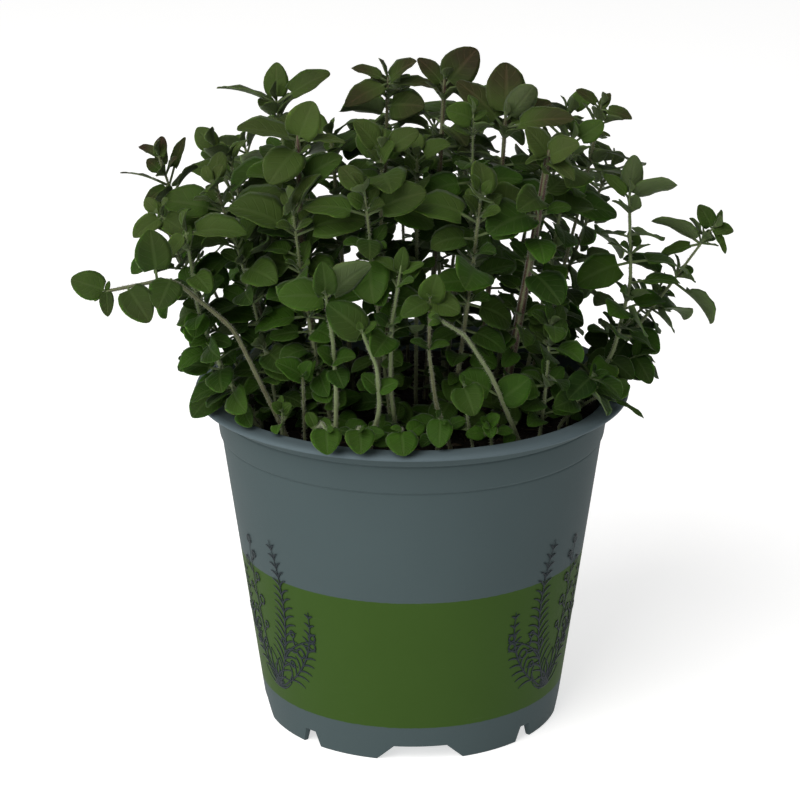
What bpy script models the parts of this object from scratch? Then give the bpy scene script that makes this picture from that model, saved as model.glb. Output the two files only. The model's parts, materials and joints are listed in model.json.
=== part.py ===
"""A young oregano plant in a round nursery pot: moulded pot, compost and separate leafy stems.

Run it with: blender --background --python part.py
Metres, +Z up. The origin is the centre of the ring that the pot stands on, and the pot's front faces -Y.
"""

import math
from functools import partial

import bmesh
import bpy
import numpy as np
from mathutils.bvhtree import BVHTree

# Pot: a 13 cm nursery pot, turned about Z
RIM_RADIUS = 0.0650
POT_HEIGHT = 0.1035
FOOT_RADIUS = 0.0449
WALL_TOP_RADIUS = 0.0589
WALL_TOP_HEIGHT = 0.0975
LEDGE_HEIGHT = 0.0895
LEDGE_STEP = 0.0005
WALL = 0.0011
RIM_EDGE = 0.0012
FLOOR_UNDERSIDE = 0.0052
FLOOR_TOP = 0.0064
POT_SIDES = 48

# Feet: eight lands between four wide and four narrow notches in the skirt
NOTCH_TOP = 0.0047
NOTCH_TURN = math.radians(3.2)
WIDE_NOTCH = (math.radians(16.6), math.radians(10.0))
NARROW_NOTCH = (math.radians(4.3), math.radians(2.4))
DRAIN_RADIUS = 0.0022
DRAIN_CIRCLE = 0.0310

# Compost
SOIL_RIM = 0.0950
SOIL_DOME = 0.0020
FIT_GAP = 0.0003
SOIL_SIDES = 32
PLANTING_DEPTH = 0.0060
HOLE_CLEARANCE = 0.0004

# Shoots
SEED = 23
SPIRAL_PLACES = 34
RULED_SHOOTS = 17
ROOT_SPREAD = 0.0500
ROOT_SPACING = 0.0062
INNER_REACH = 0.0380
CROWN_HEIGHT = 0.1990
CROWN_FALL = 0.0500
CROWN_RADIUS = 0.0900
STEM_SPACING = 0.0029
STEM_FOOT = 0.00088
STEM_TIP = 0.00056
STEM_RINGS = 4
COLLAR = 0.0035

# Leaves: distance of each pair below the shoot's tip, its length, its rise above the stem's cross plane
LEAF_PAIRS = (
    (0.0022, 0.0085, 46.0),
    (0.0080, 0.0138, 20.0),
    (0.0205, 0.0130, 4.0),
    (0.0350, 0.0108, -6.0),
    (0.0520, 0.0085, -8.0),
)
# Where a blade has its rings, as shares of its length, and whether the stalk ends in a ring of its own
KINDS = (
    ((0.42,), False),
    ((0.18, 0.62), False),
    ((0.42,), False),
    ((0.42,), False),
    ((0.42,), False),
)
CURL = (18, 58)
ROLL = 22
# No leaf reaches beyond this box about the pot's middle
SPREAD_LIMIT = (0.0970, 0.0670)
HEIGHT_LIMIT = 0.2070
LEAF_ASPECT = 0.84
PETIOLE_SHARE = 0.26
PETIOLE_HALF = 0.00042
BLADE_THICKNESS = 0.0008
FOLD = math.radians(15.0)
LEAF_CLEARANCE = 0.0006
STEM_CLEARANCE = 0.0002
OWN_STEM_REACH = 0.0018
# How far a leaf may turn sideways and up, in degrees, to find a free place, the least change first
TURNS = (
    (0, 0), (14, 0), (-14, 0), (0, 12), (0, -12), (14, 12), (-14, 12), (14, -12), (-14, -12), (28, 0),
    (-28, 0), (0, 24), (0, -22), (28, 14), (-28, 14), (28, -14), (-28, -14), (42, 0), (-42, 0), (20, 30),
    (-20, 30), (42, 20), (-42, 20), (56, 8), (-56, 8), (0, 40), (30, 42), (-30, 42),
)
SIZES = (1.0, 0.86, 0.72)

# Shoots that the eye picks out: root on the compost, knee and tip of the curve in millimetres, turn of the
# top leaf pair in degrees, leaf size, stem thickness, and how many leaf pairs the rule may add
NAMED_SHOOTS = (
    ("crown_dark", (4, 0), (8, 0, 160), (9.5, 0, 197), 20, 1.1, 1.2, 5),
    ("crown_purple", (-7, 8), (-9, 10, 150), (-7, 10, 195), 70, 1.15, 1.1, 5),
    ("crown_right", (17, -6), (26, -10, 150), (27, -10, 188), 15, 1.2, 1.2, 5),
    ("crown_small", (13, -13), (18, -18, 150), (17.5, -18, 191), 0, 0.9, 0.8, 4),
    ("top_left", (-22, 2), (-34, -2, 150), (-39.5, -5, 192), 10, 1.1, 1.0, 5),
    ("purple_right", (34, 4), (50, 5, 150), (55.5, 5, 188), 20, 0.85, 0.9, 4),
    ("front_right", (25, -26), (33, -34, 145), (38.5, -35, 184), 35, 1.15, 1.4, 5),
    ("front_left", (-24, -26), (-33, -34, 145), (-32, -35, 188.5), 5, 1.1, 1.3, 5),
    ("purple_left", (-40, -6), (-66, -12, 146), (-73, -15, 178), 30, 0.8, 0.8, 4),
    ("heart_left", (-43, -15), (-66, -32, 146), (-71, -35, 166), 60, 0.95, 0.9, 4),
    ("pale_left", (-44, -23), (-62, -43, 124), (-63.5, -42, 163), 0, 1.0, 1.0, 4),
    ("bright_left", (-33, 13), (-52, 16, 150), (-59, 16, 173), 10, 1.0, 1.0, 5),
    ("broad_left", (-32, -17), (-50, -24, 148), (-56, -26, 172), 80, 1.05, 1.0, 5),
    ("inner_left", (-38, -28), (-43, -32, 132), (-50, -34, 157), 30, 0.95, 0.9, 4),
    ("light_right", (49, -9), (69, -11, 121), (63, -10, 165), 25, 1.05, 1.0, 4),
    ("far_right", (51, 2), (67, 1, 119), (89, 0, 152), 0, 1.0, 0.9, 3),
    ("low_right", (49, -3), (57, -5, 108), (67, -6, 114), 30, 0.9, 0.8, 0),
    ("low_right_back", (47, 13), (64, 14, 116), (74, 12, 128), 30, 0.8, 0.8, 3),
    ("rim_right", (46, -17), (52, -20, 105), (56, -22, 107), 45, 0.9, 0.8, 0),
    ("low_right_dark", (43, -26), (50, -33, 112), (52, -36, 118), 20, 0.9, 0.8, 0),
    ("slim_right", (37, -34), (39, -37, 115), (39.5, -35, 133), 40, 0.95, 0.8, 3),
    ("arching_left", (-36, -36), (-56, -50, 167), (-86, -50, 147), 80, 1.2, 1.0, 0),
    ("hairy_left", (-44, -31), (-52, -37, 114), (-58.5, -40, 131), 50, 0.9, 1.0, 0),
    ("rim_left", (-48, -16), (-52, -22, 108), (-56, -24, 111), 50, 1.1, 0.8, 0),
    ("rim_left_back", (-50, -5), (-57, -8, 112), (-65.5, -8, 113), 30, 0.8, 0.7, 0),
    ("back_arch", (10, 49), (15, 58, 148), (18, 61, 162), 80, 1.1, 1.0, 5),
    ("back_left", (-33, 38), (-46, 48, 148), (-52, 53, 163), 35, 1.1, 1.0, 5),
    ("back_right", (38, 32), (55, 43, 148), (62, 47, 159), 25, 1.1, 1.0, 5),
    ("centre_left", (-22, -46), (-20, -55, 126), (-24, -58.5, 149.5), 10, 1.1, 1.1, 0),
    ("centre_bow", (-12, -47), (-5, -61, 124), (-14, -60.5, 139), 0, 0.95, 1.0, 0),
    ("centre_pale", (-4, -43), (-9, -51, 128), (-3, -53, 155.5), 60, 0.9, 1.0, 3),
    ("centre_red", (11, -44), (3, -52, 120), (5, -57, 148), 0, 1.0, 1.0, 0),
    ("centre_arch", (31, -40), (18, -60, 141), (7.5, -63, 143), 30, 0.8, 1.0, 0),
    ("front_heart", (17.5, -45), (15, -50, 112), (14.5, -55.5, 121.5), 10, 0.9, 0.7, 0),
    ("rim_front_left", (-28, -43), (-26, -52, 113), (-24, -60, 109.5), 5, 0.85, 0.8, 0),
    ("rim_front_mid", (-16, -51), (-15, -55, 112), (-14.5, -60.5, 109.5), 10, 0.85, 0.8, 0),
    ("rim_front", (-3, -51), (-3, -56, 112), (-3, -60.5, 109), 20, 0.9, 0.8, 0),
    ("rim_bent", (7, -51), (8, -54, 113), (8, -57, 112), 30, 0.85, 0.8, 0),
    ("rim_front_right", (23, -46), (21.5, -51, 112), (21.5, -55, 109.5), 10, 0.9, 0.8, 0),
    ("rim_small_left", (-37, -41), (-37, -43, 106), (-37, -45, 110.5), 10, 0.9, 0.7, 0),
    ("left_pair", (-31, -36), (-31, -41, 112), (-31, -46.5, 121.5), 10, 0.9, 0.8, 0),
)
# Leaves that the eye picks out, by shoot, as the front view shows them from VIEW_RISE above level: how far
# below the shoot's tip the leaf joins the stem; from there to the leaf's own tip, how far right, how far up
# and how far towards the viewer, all in millimetres; how far its upper face turns from the viewer to the
# sky, in degrees; and the blade's width and the petiole's length as shares of the blade's length
SET_LEAVES = {
    "crown_dark": (
        (3.0, 9.6, 11.0, 2.0, 10, 0.88, 0.20),
        (3.0, -7.8, 8.5, 0.0, 40, 0.60, 0.20),
    ),
    "crown_purple": (
        (2.0, 8.5, 5.8, 4.0, 60, 0.90, 0.15),
        (2.0, -11.0, 4.2, -1.0, 60, 0.50, 0.25),
        (2.5, -12.5, -7.0, 5.0, 50, 0.60, 0.15),
        (2.5, 15.5, -2.0, 2.0, 65, 0.50, 0.30),
        (9.0, 11.0, -1.0, 7.0, 20, 0.95, 0.15),
    ),
    "crown_right": (
        (2.0, 0.4, 17.8, -4.0, 0, 0.75, 0.20),
        (2.0, 5.5, 12.8, 4.0, 170, 0.70, 0.20),
        (4.0, 14.0, 8.0, -6.0, 60, 0.65, 0.20),
        (4.0, 21.0, 2.5, 4.0, 45, 0.50, 0.30),
        (4.0, -14.0, 14.0, -2.0, 50, 0.60, 0.25),
    ),
    "crown_small": (
        (2.5, -7.8, 2.6, 3.0, 20, 0.95, 0.10),
        (2.5, 4.2, 2.6, 0.0, 50, 0.60, 0.10),
    ),
    "top_left": (
        (2.0, 0.0, 12.2, 0.0, 0, 0.70, 0.20),
        (2.0, 16.0, 8.6, 2.0, 30, 0.60, 0.45),
        (2.0, -17.6, 4.4, 0.0, 100, 0.60, 0.30),
        (6.0, 2.0, -2.0, 7.0, 60, 0.80, 0.15),
    ),
    "front_left": (
        (2.0, 4.5, 10.8, 4.0, 25, 0.95, 0.15),
        (2.0, -17.0, 2.9, 5.0, 70, 0.70, 0.20),
        (2.0, 13.0, 2.2, 3.0, 80, 0.50, 0.25),
        (4.0, -8.0, -10.5, 7.0, 40, 0.85, 0.15),
        (14.5, -14.8, 2.4, 4.0, 60, 0.85, 0.15),
        (14.5, 12.5, 7.5, 3.0, 30, 0.70, 0.20),
    ),
    "purple_left": (
        (1.5, 0.9, 6.3, 0.0, 20, 0.75, 0.10),
        (1.5, -6.2, 3.5, -2.0, 60, 0.60, 0.20),
        (10.0, 4.8, 14.2, -2.0, 60, 0.40, 0.60),
        (10.0, -14.3, 3.4, 2.0, 100, 0.50, 0.35),
        (10.0, -7.0, -5.2, 3.0, 40, 0.50, 0.15),
        (15.0, -7.5, -3.5, 4.0, 60, 0.50, 0.15),
    ),
    "heart_left": (
        (1.5, -8.1, -5.9, 3.0, 30, 0.70, 0.15),
        (1.5, 7.3, -4.8, 3.0, 10, 0.85, 0.15),
        (1.0, -1.0, 4.0, 1.0, 40, 0.50, 0.10),
    ),
    "pale_left": (
        (1.5, 17.5, -0.5, 3.0, 60, 0.70, 0.20),
        (1.5, -5.0, -6.5, -3.0, 40, 0.70, 0.15),
        (26.0, -1.1, -6.8, 3.0, 5, 1.00, 0.05),
    ),
    "bright_left": ((2.0, -6.0, 6.7, 0.0, 10, 0.85, 0.15),),
    "purple_right": (
        (2.0, -7.3, 5.8, 0.0, 50, 0.55, 0.30),
        (2.0, 2.9, 5.0, 0.0, 30, 0.60, 0.10),
        (2.0, 9.3, -3.0, 1.0, 40, 0.60, 0.30),
        (9.0, 4.4, -1.0, 1.0, 60, 0.50, 0.15),
    ),
    "front_right": (
        (2.0, -6.4, 7.8, 4.0, 40, 0.85, 0.10),
        (2.0, 7.0, 7.0, 4.0, 40, 0.85, 0.10),
        (2.0, -6.5, -1.5, 4.0, 70, 0.50, 0.10),
        (2.0, 9.5, 1.5, 0.0, 100, 0.50, 0.15),
        (3.0, 7.3, -6.2, 5.0, 60, 0.60, 0.15),
    ),
    "light_right": (
        (2.0, 13.8, 3.8, 4.0, 130, 0.60, 0.15),
        (2.0, 1.5, 12.5, 3.0, 165, 0.60, 0.15),
        (2.0, 9.9, 15.2, -3.0, 40, 0.40, 0.35),
        (2.0, 12.0, 10.0, -2.0, 20, 0.60, 0.25),
        (2.0, -6.0, 8.4, 0.0, 50, 0.50, 0.20),
    ),
    "far_right": (
        (1.2, -3.8, 7.3, 0.0, 20, 0.75, 0.10),
        (1.2, 6.4, -0.7, 1.0, 30, 0.75, 0.10),
        (1.2, 4.0, -7.5, 1.0, 80, 0.40, 0.15),
        (7.0, -15.0, 6.8, 3.0, 125, 0.55, 0.15),
        (7.0, -12.5, -4.4, -3.0, 60, 0.50, 0.30),
    ),
    "low_right": (
        (0.8, 6.2, 1.2, 3.0, 80, 0.70, 0.05),
        (0.8, 4.3, -8.2, 3.5, 40, 0.70, 0.05),
        (0.8, 7.7, -1.5, -2.5, 60, 0.60, 0.05),
        (0.8, 1.2, 5.8, 0.0, 50, 0.50, 0.05),
    ),
    "rim_right": ((0.8, 12.4, -7.2, 3.0, 95, 0.35, 0.50),),
    "low_right_dark": (
        (0.8, -7.0, -6.5, 3.0, 20, 0.95, 0.10),
        (0.8, 5.0, 1.0, 2.0, 60, 0.70, 0.10),
    ),
    "arching_left": (
        (0.8, -10.0, 3.4, 1.0, 10, 0.85, 0.10),
        (0.8, 0.5, -7.2, 1.5, 30, 0.60, 0.05),
        (0.8, 0.8, 3.0, 0.0, 0, 0.50, 0.05),
        (7.5, 6.5, -10.0, 3.0, 10, 0.85, 0.10),
        (16.0, -1.9, 14.5, 2.0, 15, 0.90, 0.30),
        (20.0, -3.5, -8.8, 5.0, 25, 0.95, 0.10),
    ),
    "hairy_left": (
        (1.0, 7.0, -2.0, 3.0, 50, 0.75, 0.10),
        (1.0, -4.5, -2.5, 2.0, 50, 0.80, 0.10),
    ),
    "rim_left": ((0.8, -8.6, -9.3, 4.0, 40, 0.75, 0.05),),
    "rim_left_back": ((0.8, -4.6, -2.8, 1.0, 20, 0.95, 0.10),),
    "centre_left": (
        (1.8, -13.3, 0.3, 3.0, 40, 0.85, 0.10),
        (1.8, -1.0, 10.0, 3.0, 30, 0.80, 0.15),
        (1.8, 12.5, 9.5, 1.0, 140, 0.80, 0.20),
        (22.0, -4.6, 3.4, 4.0, 40, 0.90, 0.10),
        (22.0, 6.1, 1.1, 5.0, 35, 0.90, 0.10),
        (24.5, 2.5, -5.5, 4.0, 30, 1.00, 0.10),
    ),
    "centre_bow": (
        (1.0, -8.8, 9.4, 2.0, 20, 0.80, 0.05),
        (1.0, 4.0, 3.5, 0.0, 50, 0.60, 0.10),
        (20.0, -4.7, 4.7, 2.0, 35, 0.85, 0.05),
        (20.0, 5.6, 2.6, 2.0, 35, 0.80, 0.05),
    ),
    "centre_pale": (
        (2.5, -7.2, 4.2, 2.0, 60, 0.65, 0.15),
        (2.5, 6.8, 3.0, 1.0, 60, 0.65, 0.15),
        (2.5, 1.1, 7.5, 2.0, 20, 0.60, 0.10),
    ),
    "centre_red": (
        (2.0, 1.9, 7.5, 3.5, 25, 0.95, 0.05),
        (2.0, -8.0, -4.2, 3.5, 45, 0.80, 0.10),
        (2.0, 7.2, -4.6, 3.5, 40, 0.95, 0.05),
        (17.0, -5.3, 2.2, 3.0, 65, 0.75, 0.10),
        (17.0, 5.9, 1.1, 3.0, 65, 0.75, 0.10),
    ),
    "centre_arch": (
        (0.6, -3.6, -1.5, 1.0, 50, 0.70, 0.05),
        (36.0, -12.0, 6.0, 2.0, 20, 0.95, 0.40),
        (37.0, 8.0, 6.0, 2.0, 10, 0.95, 0.05),
    ),
    "front_heart": ((1.0, 2.8, -8.0, 4.0, 15, 1.10, 0.05),),
    "rim_front_left": ((1.0, 0.6, -7.2, 4.5, 30, 1.10, 0.05),),
    "rim_front_mid": ((1.0, 0.3, -6.8, 4.5, 30, 1.10, 0.05),),
    "rim_front": (
        (0.8, 0.6, -6.8, 5.0, 30, 1.10, 0.05),
        (0.8, -3.0, 1.0, 2.0, 50, 0.80, 0.05),
    ),
    "rim_bent": ((0.8, -0.5, -8.2, 3.5, 40, 0.85, 0.05),),
    "rim_front_right": (
        (0.8, 3.2, 2.4, 2.5, 20, 0.95, 0.05),
        (0.8, 0.6, -4.2, 3.0, 30, 0.90, 0.05),
        (0.8, -2.5, 1.5, 2.0, 30, 0.90, 0.05),
    ),
    "rim_small_left": (
        (0.8, -2.9, 2.4, 2.0, 30, 0.90, 0.05),
        (0.8, 2.6, 2.6, 2.0, 30, 0.90, 0.05),
    ),
    "left_pair": (
        (1.0, -7.6, 4.2, 3.0, 35, 0.85, 0.05),
        (1.0, 2.6, 4.4, 3.0, 35, 0.85, 0.05),
    ),
}
VIEW_RISE = math.radians(19.0)
SET_CURL = math.radians(28.0)
SET_SHARES = (0.18, 0.62)
SMALL_LEAF = 0.0075
SMALL_SHARES = (0.42,)
LONG_STALK = 0.28
# Below the lowest leaf set by hand, the rule's own pairs begin this much further down
SET_GAP = 0.0090
# How far a leaf set by hand may turn within its face and out of it, in degrees, to find a free place
SET_TURNS = (
    (0, 0), (7, 0), (-7, 0), (0, 7), (0, -7), (7, 7), (-7, 7), (7, -7), (-7, -7), (14, 0), (-14, 0), (0, 14),
    (0, -14), (14, 14), (-14, 14), (14, -14), (-14, -14), (24, 0), (-24, 0), (0, 24), (24, 24), (-24, 24),
)
SET_SIZES = (1.0, 0.92, 0.84, 0.74, 0.6)
MILLIMETRE = 0.001

# Finishes: base colour, roughness
POT_GREY = ((0.105, 0.140, 0.150, 1.0), 0.55)
COMPOST_BROWN = ((0.030, 0.020, 0.013, 1.0), 0.95)
LEAF_GREEN = ((0.040, 0.090, 0.020, 1.0), 0.6)


def clear_scene():
    for obj in list(bpy.data.objects):
        bpy.data.objects.remove(obj, do_unlink=True)


def make_material(name, finish):
    colour, roughness = finish
    material = bpy.data.materials.new(name)
    material.use_nodes = True
    shader = material.node_tree.nodes["Principled BSDF"]
    shader.inputs["Base Color"].default_value = colour
    shader.inputs["Roughness"].default_value = roughness
    shader.inputs["Metallic"].default_value = 0.0
    return material


def add_object(name, points, faces, material=None):
    mesh = bpy.data.meshes.new(name)
    mesh.from_pydata([tuple(map(float, point)) for point in points], [], [tuple(face) for face in faces])
    mesh.update()
    obj = bpy.data.objects.new(name, mesh)
    bpy.context.scene.collection.objects.link(obj)
    if material:
        mesh.materials.append(material)
    return obj


def hide_helper(obj):
    obj.hide_render = True
    obj.display_type = "WIRE"


def unit(vector):
    return vector / np.linalg.norm(vector)


def lathe(name, profile, sides, material):
    """Turns a closed outline of (radius, height) points about Z; a point of radius 0 becomes a pole."""
    points, rings = [], []
    for radius, height in profile:
        start = len(points)
        count = 1 if radius == 0 else sides
        for k in range(count):
            turn = 2 * math.pi * k / sides
            points.append((radius * math.sin(turn), -radius * math.cos(turn), height))
        rings.append((start, count))
    faces = []
    closed = profile[0][0] != 0
    for i in range(len(rings) if closed else len(rings) - 1):
        (a, a_count), (b, b_count) = rings[i], rings[(i + 1) % len(rings)]
        for k in range(sides):
            after = (k + 1) % sides
            if a_count == 1:
                faces.append((a, b + after, b + k))
            elif b_count == 1:
                faces.append((a + k, a + after, b))
            else:
                faces.append((a + k, a + after, b + after, b + k))
    return add_object(name, points, faces, material)


def wall_radius(height):
    """Outer radius of the tapered wall at a height."""
    return FOOT_RADIUS + (WALL_TOP_RADIUS - FOOT_RADIUS) * height / WALL_TOP_HEIGHT


def pot_profile():
    """Outline of the pot's wall, from the floor's underside up the outside and down the inside."""
    ledge = LEDGE_HEIGHT
    return [
        (0, FLOOR_UNDERSIDE),
        (FOOT_RADIUS - 0.0020, FLOOR_UNDERSIDE),
        (FOOT_RADIUS - 0.0016, 0),
        (FOOT_RADIUS, 0),
        (wall_radius(ledge) - LEDGE_STEP, ledge - 0.0006),
        (wall_radius(ledge), ledge),
        (WALL_TOP_RADIUS, WALL_TOP_HEIGHT),
        (WALL_TOP_RADIUS + 0.0018, POT_HEIGHT - RIM_EDGE - 0.0012),
        (RIM_RADIUS, POT_HEIGHT - RIM_EDGE),
        (RIM_RADIUS - 0.0003, POT_HEIGHT - 0.0002),
        (WALL_TOP_RADIUS + 0.0010, POT_HEIGHT),
        (WALL_TOP_RADIUS - WALL - 0.0004, WALL_TOP_HEIGHT - 0.0010),
        (wall_radius(FLOOR_TOP) - WALL - 0.0004, FLOOR_TOP),
        (0, FLOOR_TOP),
    ]


def notch_cutter(name, turn, half_angles):
    """A wedge that opens the skirt: wide at the foot, narrow at the top, with sloped flanks."""
    inner, outer, below = FOOT_RADIUS - 0.006, FOOT_RADIUS + 0.006, -0.002
    foot, top = half_angles
    slope = (foot - top) / NOTCH_TOP
    points = []
    for height, half in ((below, foot - slope * below), (NOTCH_TOP, top)):
        for radius in (inner, outer):
            for side in (-1, 1):
                angle = turn + side * half
                points.append((radius * math.sin(angle), -radius * math.cos(angle), height))
    faces = [(0, 1, 3, 2), (4, 6, 7, 5), (0, 2, 6, 4), (1, 5, 7, 3), (0, 4, 5, 1), (2, 3, 7, 6)]
    return add_object(name, points, faces)


def drain_cutter(name, turn):
    """A six-sided rod through the floor."""
    bpy.ops.mesh.primitive_cylinder_add(vertices=6, radius=DRAIN_RADIUS, depth=0.01)
    cutter = bpy.context.object
    cutter.name = name
    cutter.location = (DRAIN_CIRCLE * math.sin(turn), -DRAIN_CIRCLE * math.cos(turn), FLOOR_TOP)
    return cutter


def cut_with(obj, cutters, label):
    """Takes a collection of cutters out of obj."""
    group = bpy.data.collections.new(label)
    bpy.context.scene.collection.children.link(group)
    for cutter in cutters:
        for holder in list(cutter.users_collection):
            holder.objects.unlink(cutter)
        group.objects.link(cutter)
        hide_helper(cutter)
    cut = obj.modifiers.new(label, "BOOLEAN")
    cut.operation = "DIFFERENCE"
    cut.operand_type = "COLLECTION"
    cut.collection = group
    cut.solver = "EXACT"


def make_pot(material):
    pot = lathe("pot", pot_profile(), POT_SIDES, material)
    cutters = []
    for k in range(8):
        turn = NOTCH_TURN + k * math.pi / 4
        half_angles = NARROW_NOTCH if k % 2 else WIDE_NOTCH
        cutters.append(notch_cutter(f"notch_{k}", turn, half_angles))
        if k % 2:
            cutters.append(drain_cutter(f"drain_{k}", turn))
    cut_with(pot, cutters, "feet_and_drains")
    pot.data.shade_smooth()
    pot.data.set_sharp_from_angle(angle=math.radians(30))
    return pot


def make_soil(shoots, material):
    """A plug that follows the pot's wall, with a slightly domed top and a square hole for each shoot."""
    reach = wall_radius(SOIL_RIM) - WALL - 0.0006 - FIT_GAP
    foot = wall_radius(FLOOR_TOP) - WALL - 0.0016 - FIT_GAP
    bottom = FLOOR_TOP + FIT_GAP
    profile = [
        (0, bottom),
        (foot, bottom),
        (foot + 0.0006, bottom + 0.0016),
        (reach, SOIL_RIM),
        (reach * 0.62, SOIL_RIM + SOIL_DOME * 0.7),
        (0, SOIL_RIM + SOIL_DOME),
    ]
    soil = lathe("compost", profile, SOIL_SIDES, material)
    cutters = []
    for k, shoot in enumerate(shoots):
        half = shoot["foot"] + HOLE_CLEARANCE
        corners = square(shoot["azimuth"], half)
        low = np.array([*shoot["root"][:2], SOIL_RIM - PLANTING_DEPTH - FIT_GAP])
        rise = np.array([0, 0, PLANTING_DEPTH + 0.008])
        points = [low + c for c in corners] + [low + rise + c for c in corners]
        faces = [(3, 2, 1, 0), (4, 5, 6, 7)] + [(i, (i + 1) % 4, 4 + (i + 1) % 4, 4 + i) for i in range(4)]
        cutters.append(add_object(f"stem_hole_{k}", points, faces))
    cut_with(soil, cutters, "stem_holes")
    return soil


def turned(axis, angle, vector):
    """Vector turned about a unit axis by the right-hand rule."""
    along = axis * (axis @ vector)
    across = vector - along
    return along + across * math.cos(angle) + np.cross(axis, across) * math.sin(angle)


def tilted(tangent, vector):
    """A vector of the level plane, carried by the shortest turn that brings +Z onto the tangent."""
    up = np.array([0.0, 0.0, 1.0])
    axis = np.cross(up, tangent)
    size = np.linalg.norm(axis)
    if size < 1e-9:
        return vector
    return turned(axis / size, math.atan2(size, float(up @ tangent)), vector)


def level_direction(azimuth):
    return np.array([math.cos(azimuth), math.sin(azimuth), 0.0])


def square(azimuth, half):
    """Corners of a level square, counter-clockwise, with its sides facing azimuth and its quarter turns."""
    return [math.sqrt(2) * half * level_direction(azimuth + math.pi * (0.25 + 0.5 * k)) for k in range(4)]


def curve_point(shoot, t):
    """Point at share t of the shoot's quadratic curve, from the compost to the tip."""
    a, b, c = shoot["root"], shoot["knee"], shoot["tip"]
    return (1 - t) ** 2 * a + 2 * t * (1 - t) * b + t**2 * c


def curve_tangent(shoot, t):
    a, b, c = shoot["root"], shoot["knee"], shoot["tip"]
    return unit(2 * (1 - t) * (b - a) + 2 * t * (c - b))


def new_shoot(name, root, knee, tip, azimuth, leaf_size, thickness, pairs):
    """The facts of one shoot. Its root is where it leaves the collar above the compost."""
    shoot = {
        "name": name,
        "root": np.array([root[0], root[1], SOIL_RIM + COLLAR]),
        "knee": np.array(knee, float),
        "tip": np.array(tip, float),
        "azimuth": azimuth,
        "leaf_size": leaf_size,
        "pairs": pairs,
        "foot": STEM_FOOT * thickness,
        "top": STEM_TIP * thickness,
    }
    line = np.array([curve_point(shoot, t) for t in np.linspace(0, 1, 33)])
    shoot["steps"] = np.concatenate([[0], np.cumsum(np.linalg.norm(np.diff(line, axis=0), axis=1))])
    shoot["line"] = line
    return shoot


def share_below_tip(shoot, distance):
    """The curve's share t at an arc length below the tip."""
    steps = shoot["steps"]
    return float(np.interp(steps[-1] - distance, steps, np.linspace(0, 1, len(steps))))


def named_shoots():
    shoots = []
    for name, root, knee, tip, turn, leaf_size, thickness, pairs in NAMED_SHOOTS:
        root, knee, tip = (np.array(p, float) * MILLIMETRE for p in (root, knee, tip))
        shoots.append(new_shoot(name, root, knee, tip, math.radians(turn), leaf_size, thickness, pairs))
    return shoots


def stems_clear(shoot, others):
    """True where the shoot's line keeps its spacing from every other line."""
    for other in others:
        apart = np.linalg.norm(shoot["line"][:, None] - other["line"][None], axis=2)
        if apart.min() < STEM_SPACING:
            return False
        if np.linalg.norm(shoot["root"] - other["root"]) < ROOT_SPACING:
            return False
    return True


def add_ruled_shoots(shoots, draw):
    """Fills the gaps on a sunflower spiral. Shoots lean outwards, and their tips lie under a low dome."""
    golden = math.pi * (3 - math.sqrt(5))
    made = 0
    for k in range(SPIRAL_PLACES):
        if made == RULED_SHOOTS:
            break
        for _ in range(8):
            reach = ROOT_SPREAD * math.sqrt((k + 0.5) / SPIRAL_PLACES) + draw.uniform(-0.0015, 0.0015)
            turn = k * golden + draw.uniform(-0.12, 0.12)
            lean = draw.uniform(1.3, 1.6)
            swing = turn + draw.uniform(-0.2, 0.2)
            tip_reach = reach * lean + 0.002
            dome = CROWN_HEIGHT - CROWN_FALL * (tip_reach / CROWN_RADIUS) ** 2
            tip_height = dome - draw.uniform(0.0, 0.026)
            root = reach * level_direction(turn)
            tip = tip_reach * level_direction(swing) + np.array([0, 0, tip_height])
            bend = draw.uniform(0.45, 0.85)
            knee = root * (1 - bend) + tip * bend
            knee[2] = SOIL_RIM + (tip_height - SOIL_RIM) * draw.uniform(0.45, 0.62)
            azimuth = draw.uniform(0, math.pi)
            leaf_size = draw.uniform(0.9, 1.15)
            thickness = draw.uniform(0.85, 1.15)
            pairs = 4 if reach < INNER_REACH else 5
            shoot = new_shoot(f"ruled_{made}", root, knee, tip, azimuth, leaf_size, thickness, pairs)
            if stems_clear(shoot, shoots):
                shoots.append(shoot)
                made += 1
                break


def stem_rings(shoot, grow=0.0):
    """Square rings from the buried foot to the tip, each a list of four corners."""
    root = shoot["root"]
    rings = []
    foot = root.copy()
    foot[2] = SOIL_RIM - PLANTING_DEPTH
    for centre in (foot, root):
        rings.append([centre + c for c in square(shoot["azimuth"], shoot["foot"] + grow)])
    for k in range(1, STEM_RINGS):
        t = k / (STEM_RINGS - 1)
        half = shoot["foot"] + (shoot["top"] - shoot["foot"]) * t + grow
        centre, tangent = curve_point(shoot, t), curve_tangent(shoot, t)
        rings.append([centre + tilted(tangent, c) for c in square(shoot["azimuth"], half)])
    return rings


def tube(rings):
    """Points and faces of a closed tube through rings of equal size."""
    count = len(rings[0])
    points = [p for ring in rings for p in ring]
    faces = [tuple(range(count))[::-1]]
    for k in range(len(rings) - 1):
        for i in range(count):
            after = (i + 1) % count
            faces.append((k * count + i, k * count + after, (k + 1) * count + after, (k + 1) * count + i))
    faces.append(tuple(range(len(points) - count, len(points))))
    return points, faces


def axis_at(shoot, t):
    """Point and direction of the stem's middle at share t, on the straight piece between two of its rings."""
    piece = min(int(t * (STEM_RINGS - 1)), STEM_RINGS - 2)
    low, high = (curve_point(shoot, (piece + k) / (STEM_RINGS - 1)) for k in (0, 1))
    return low + (high - low) * (t * (STEM_RINGS - 1) - piece), unit(high - low)


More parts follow.
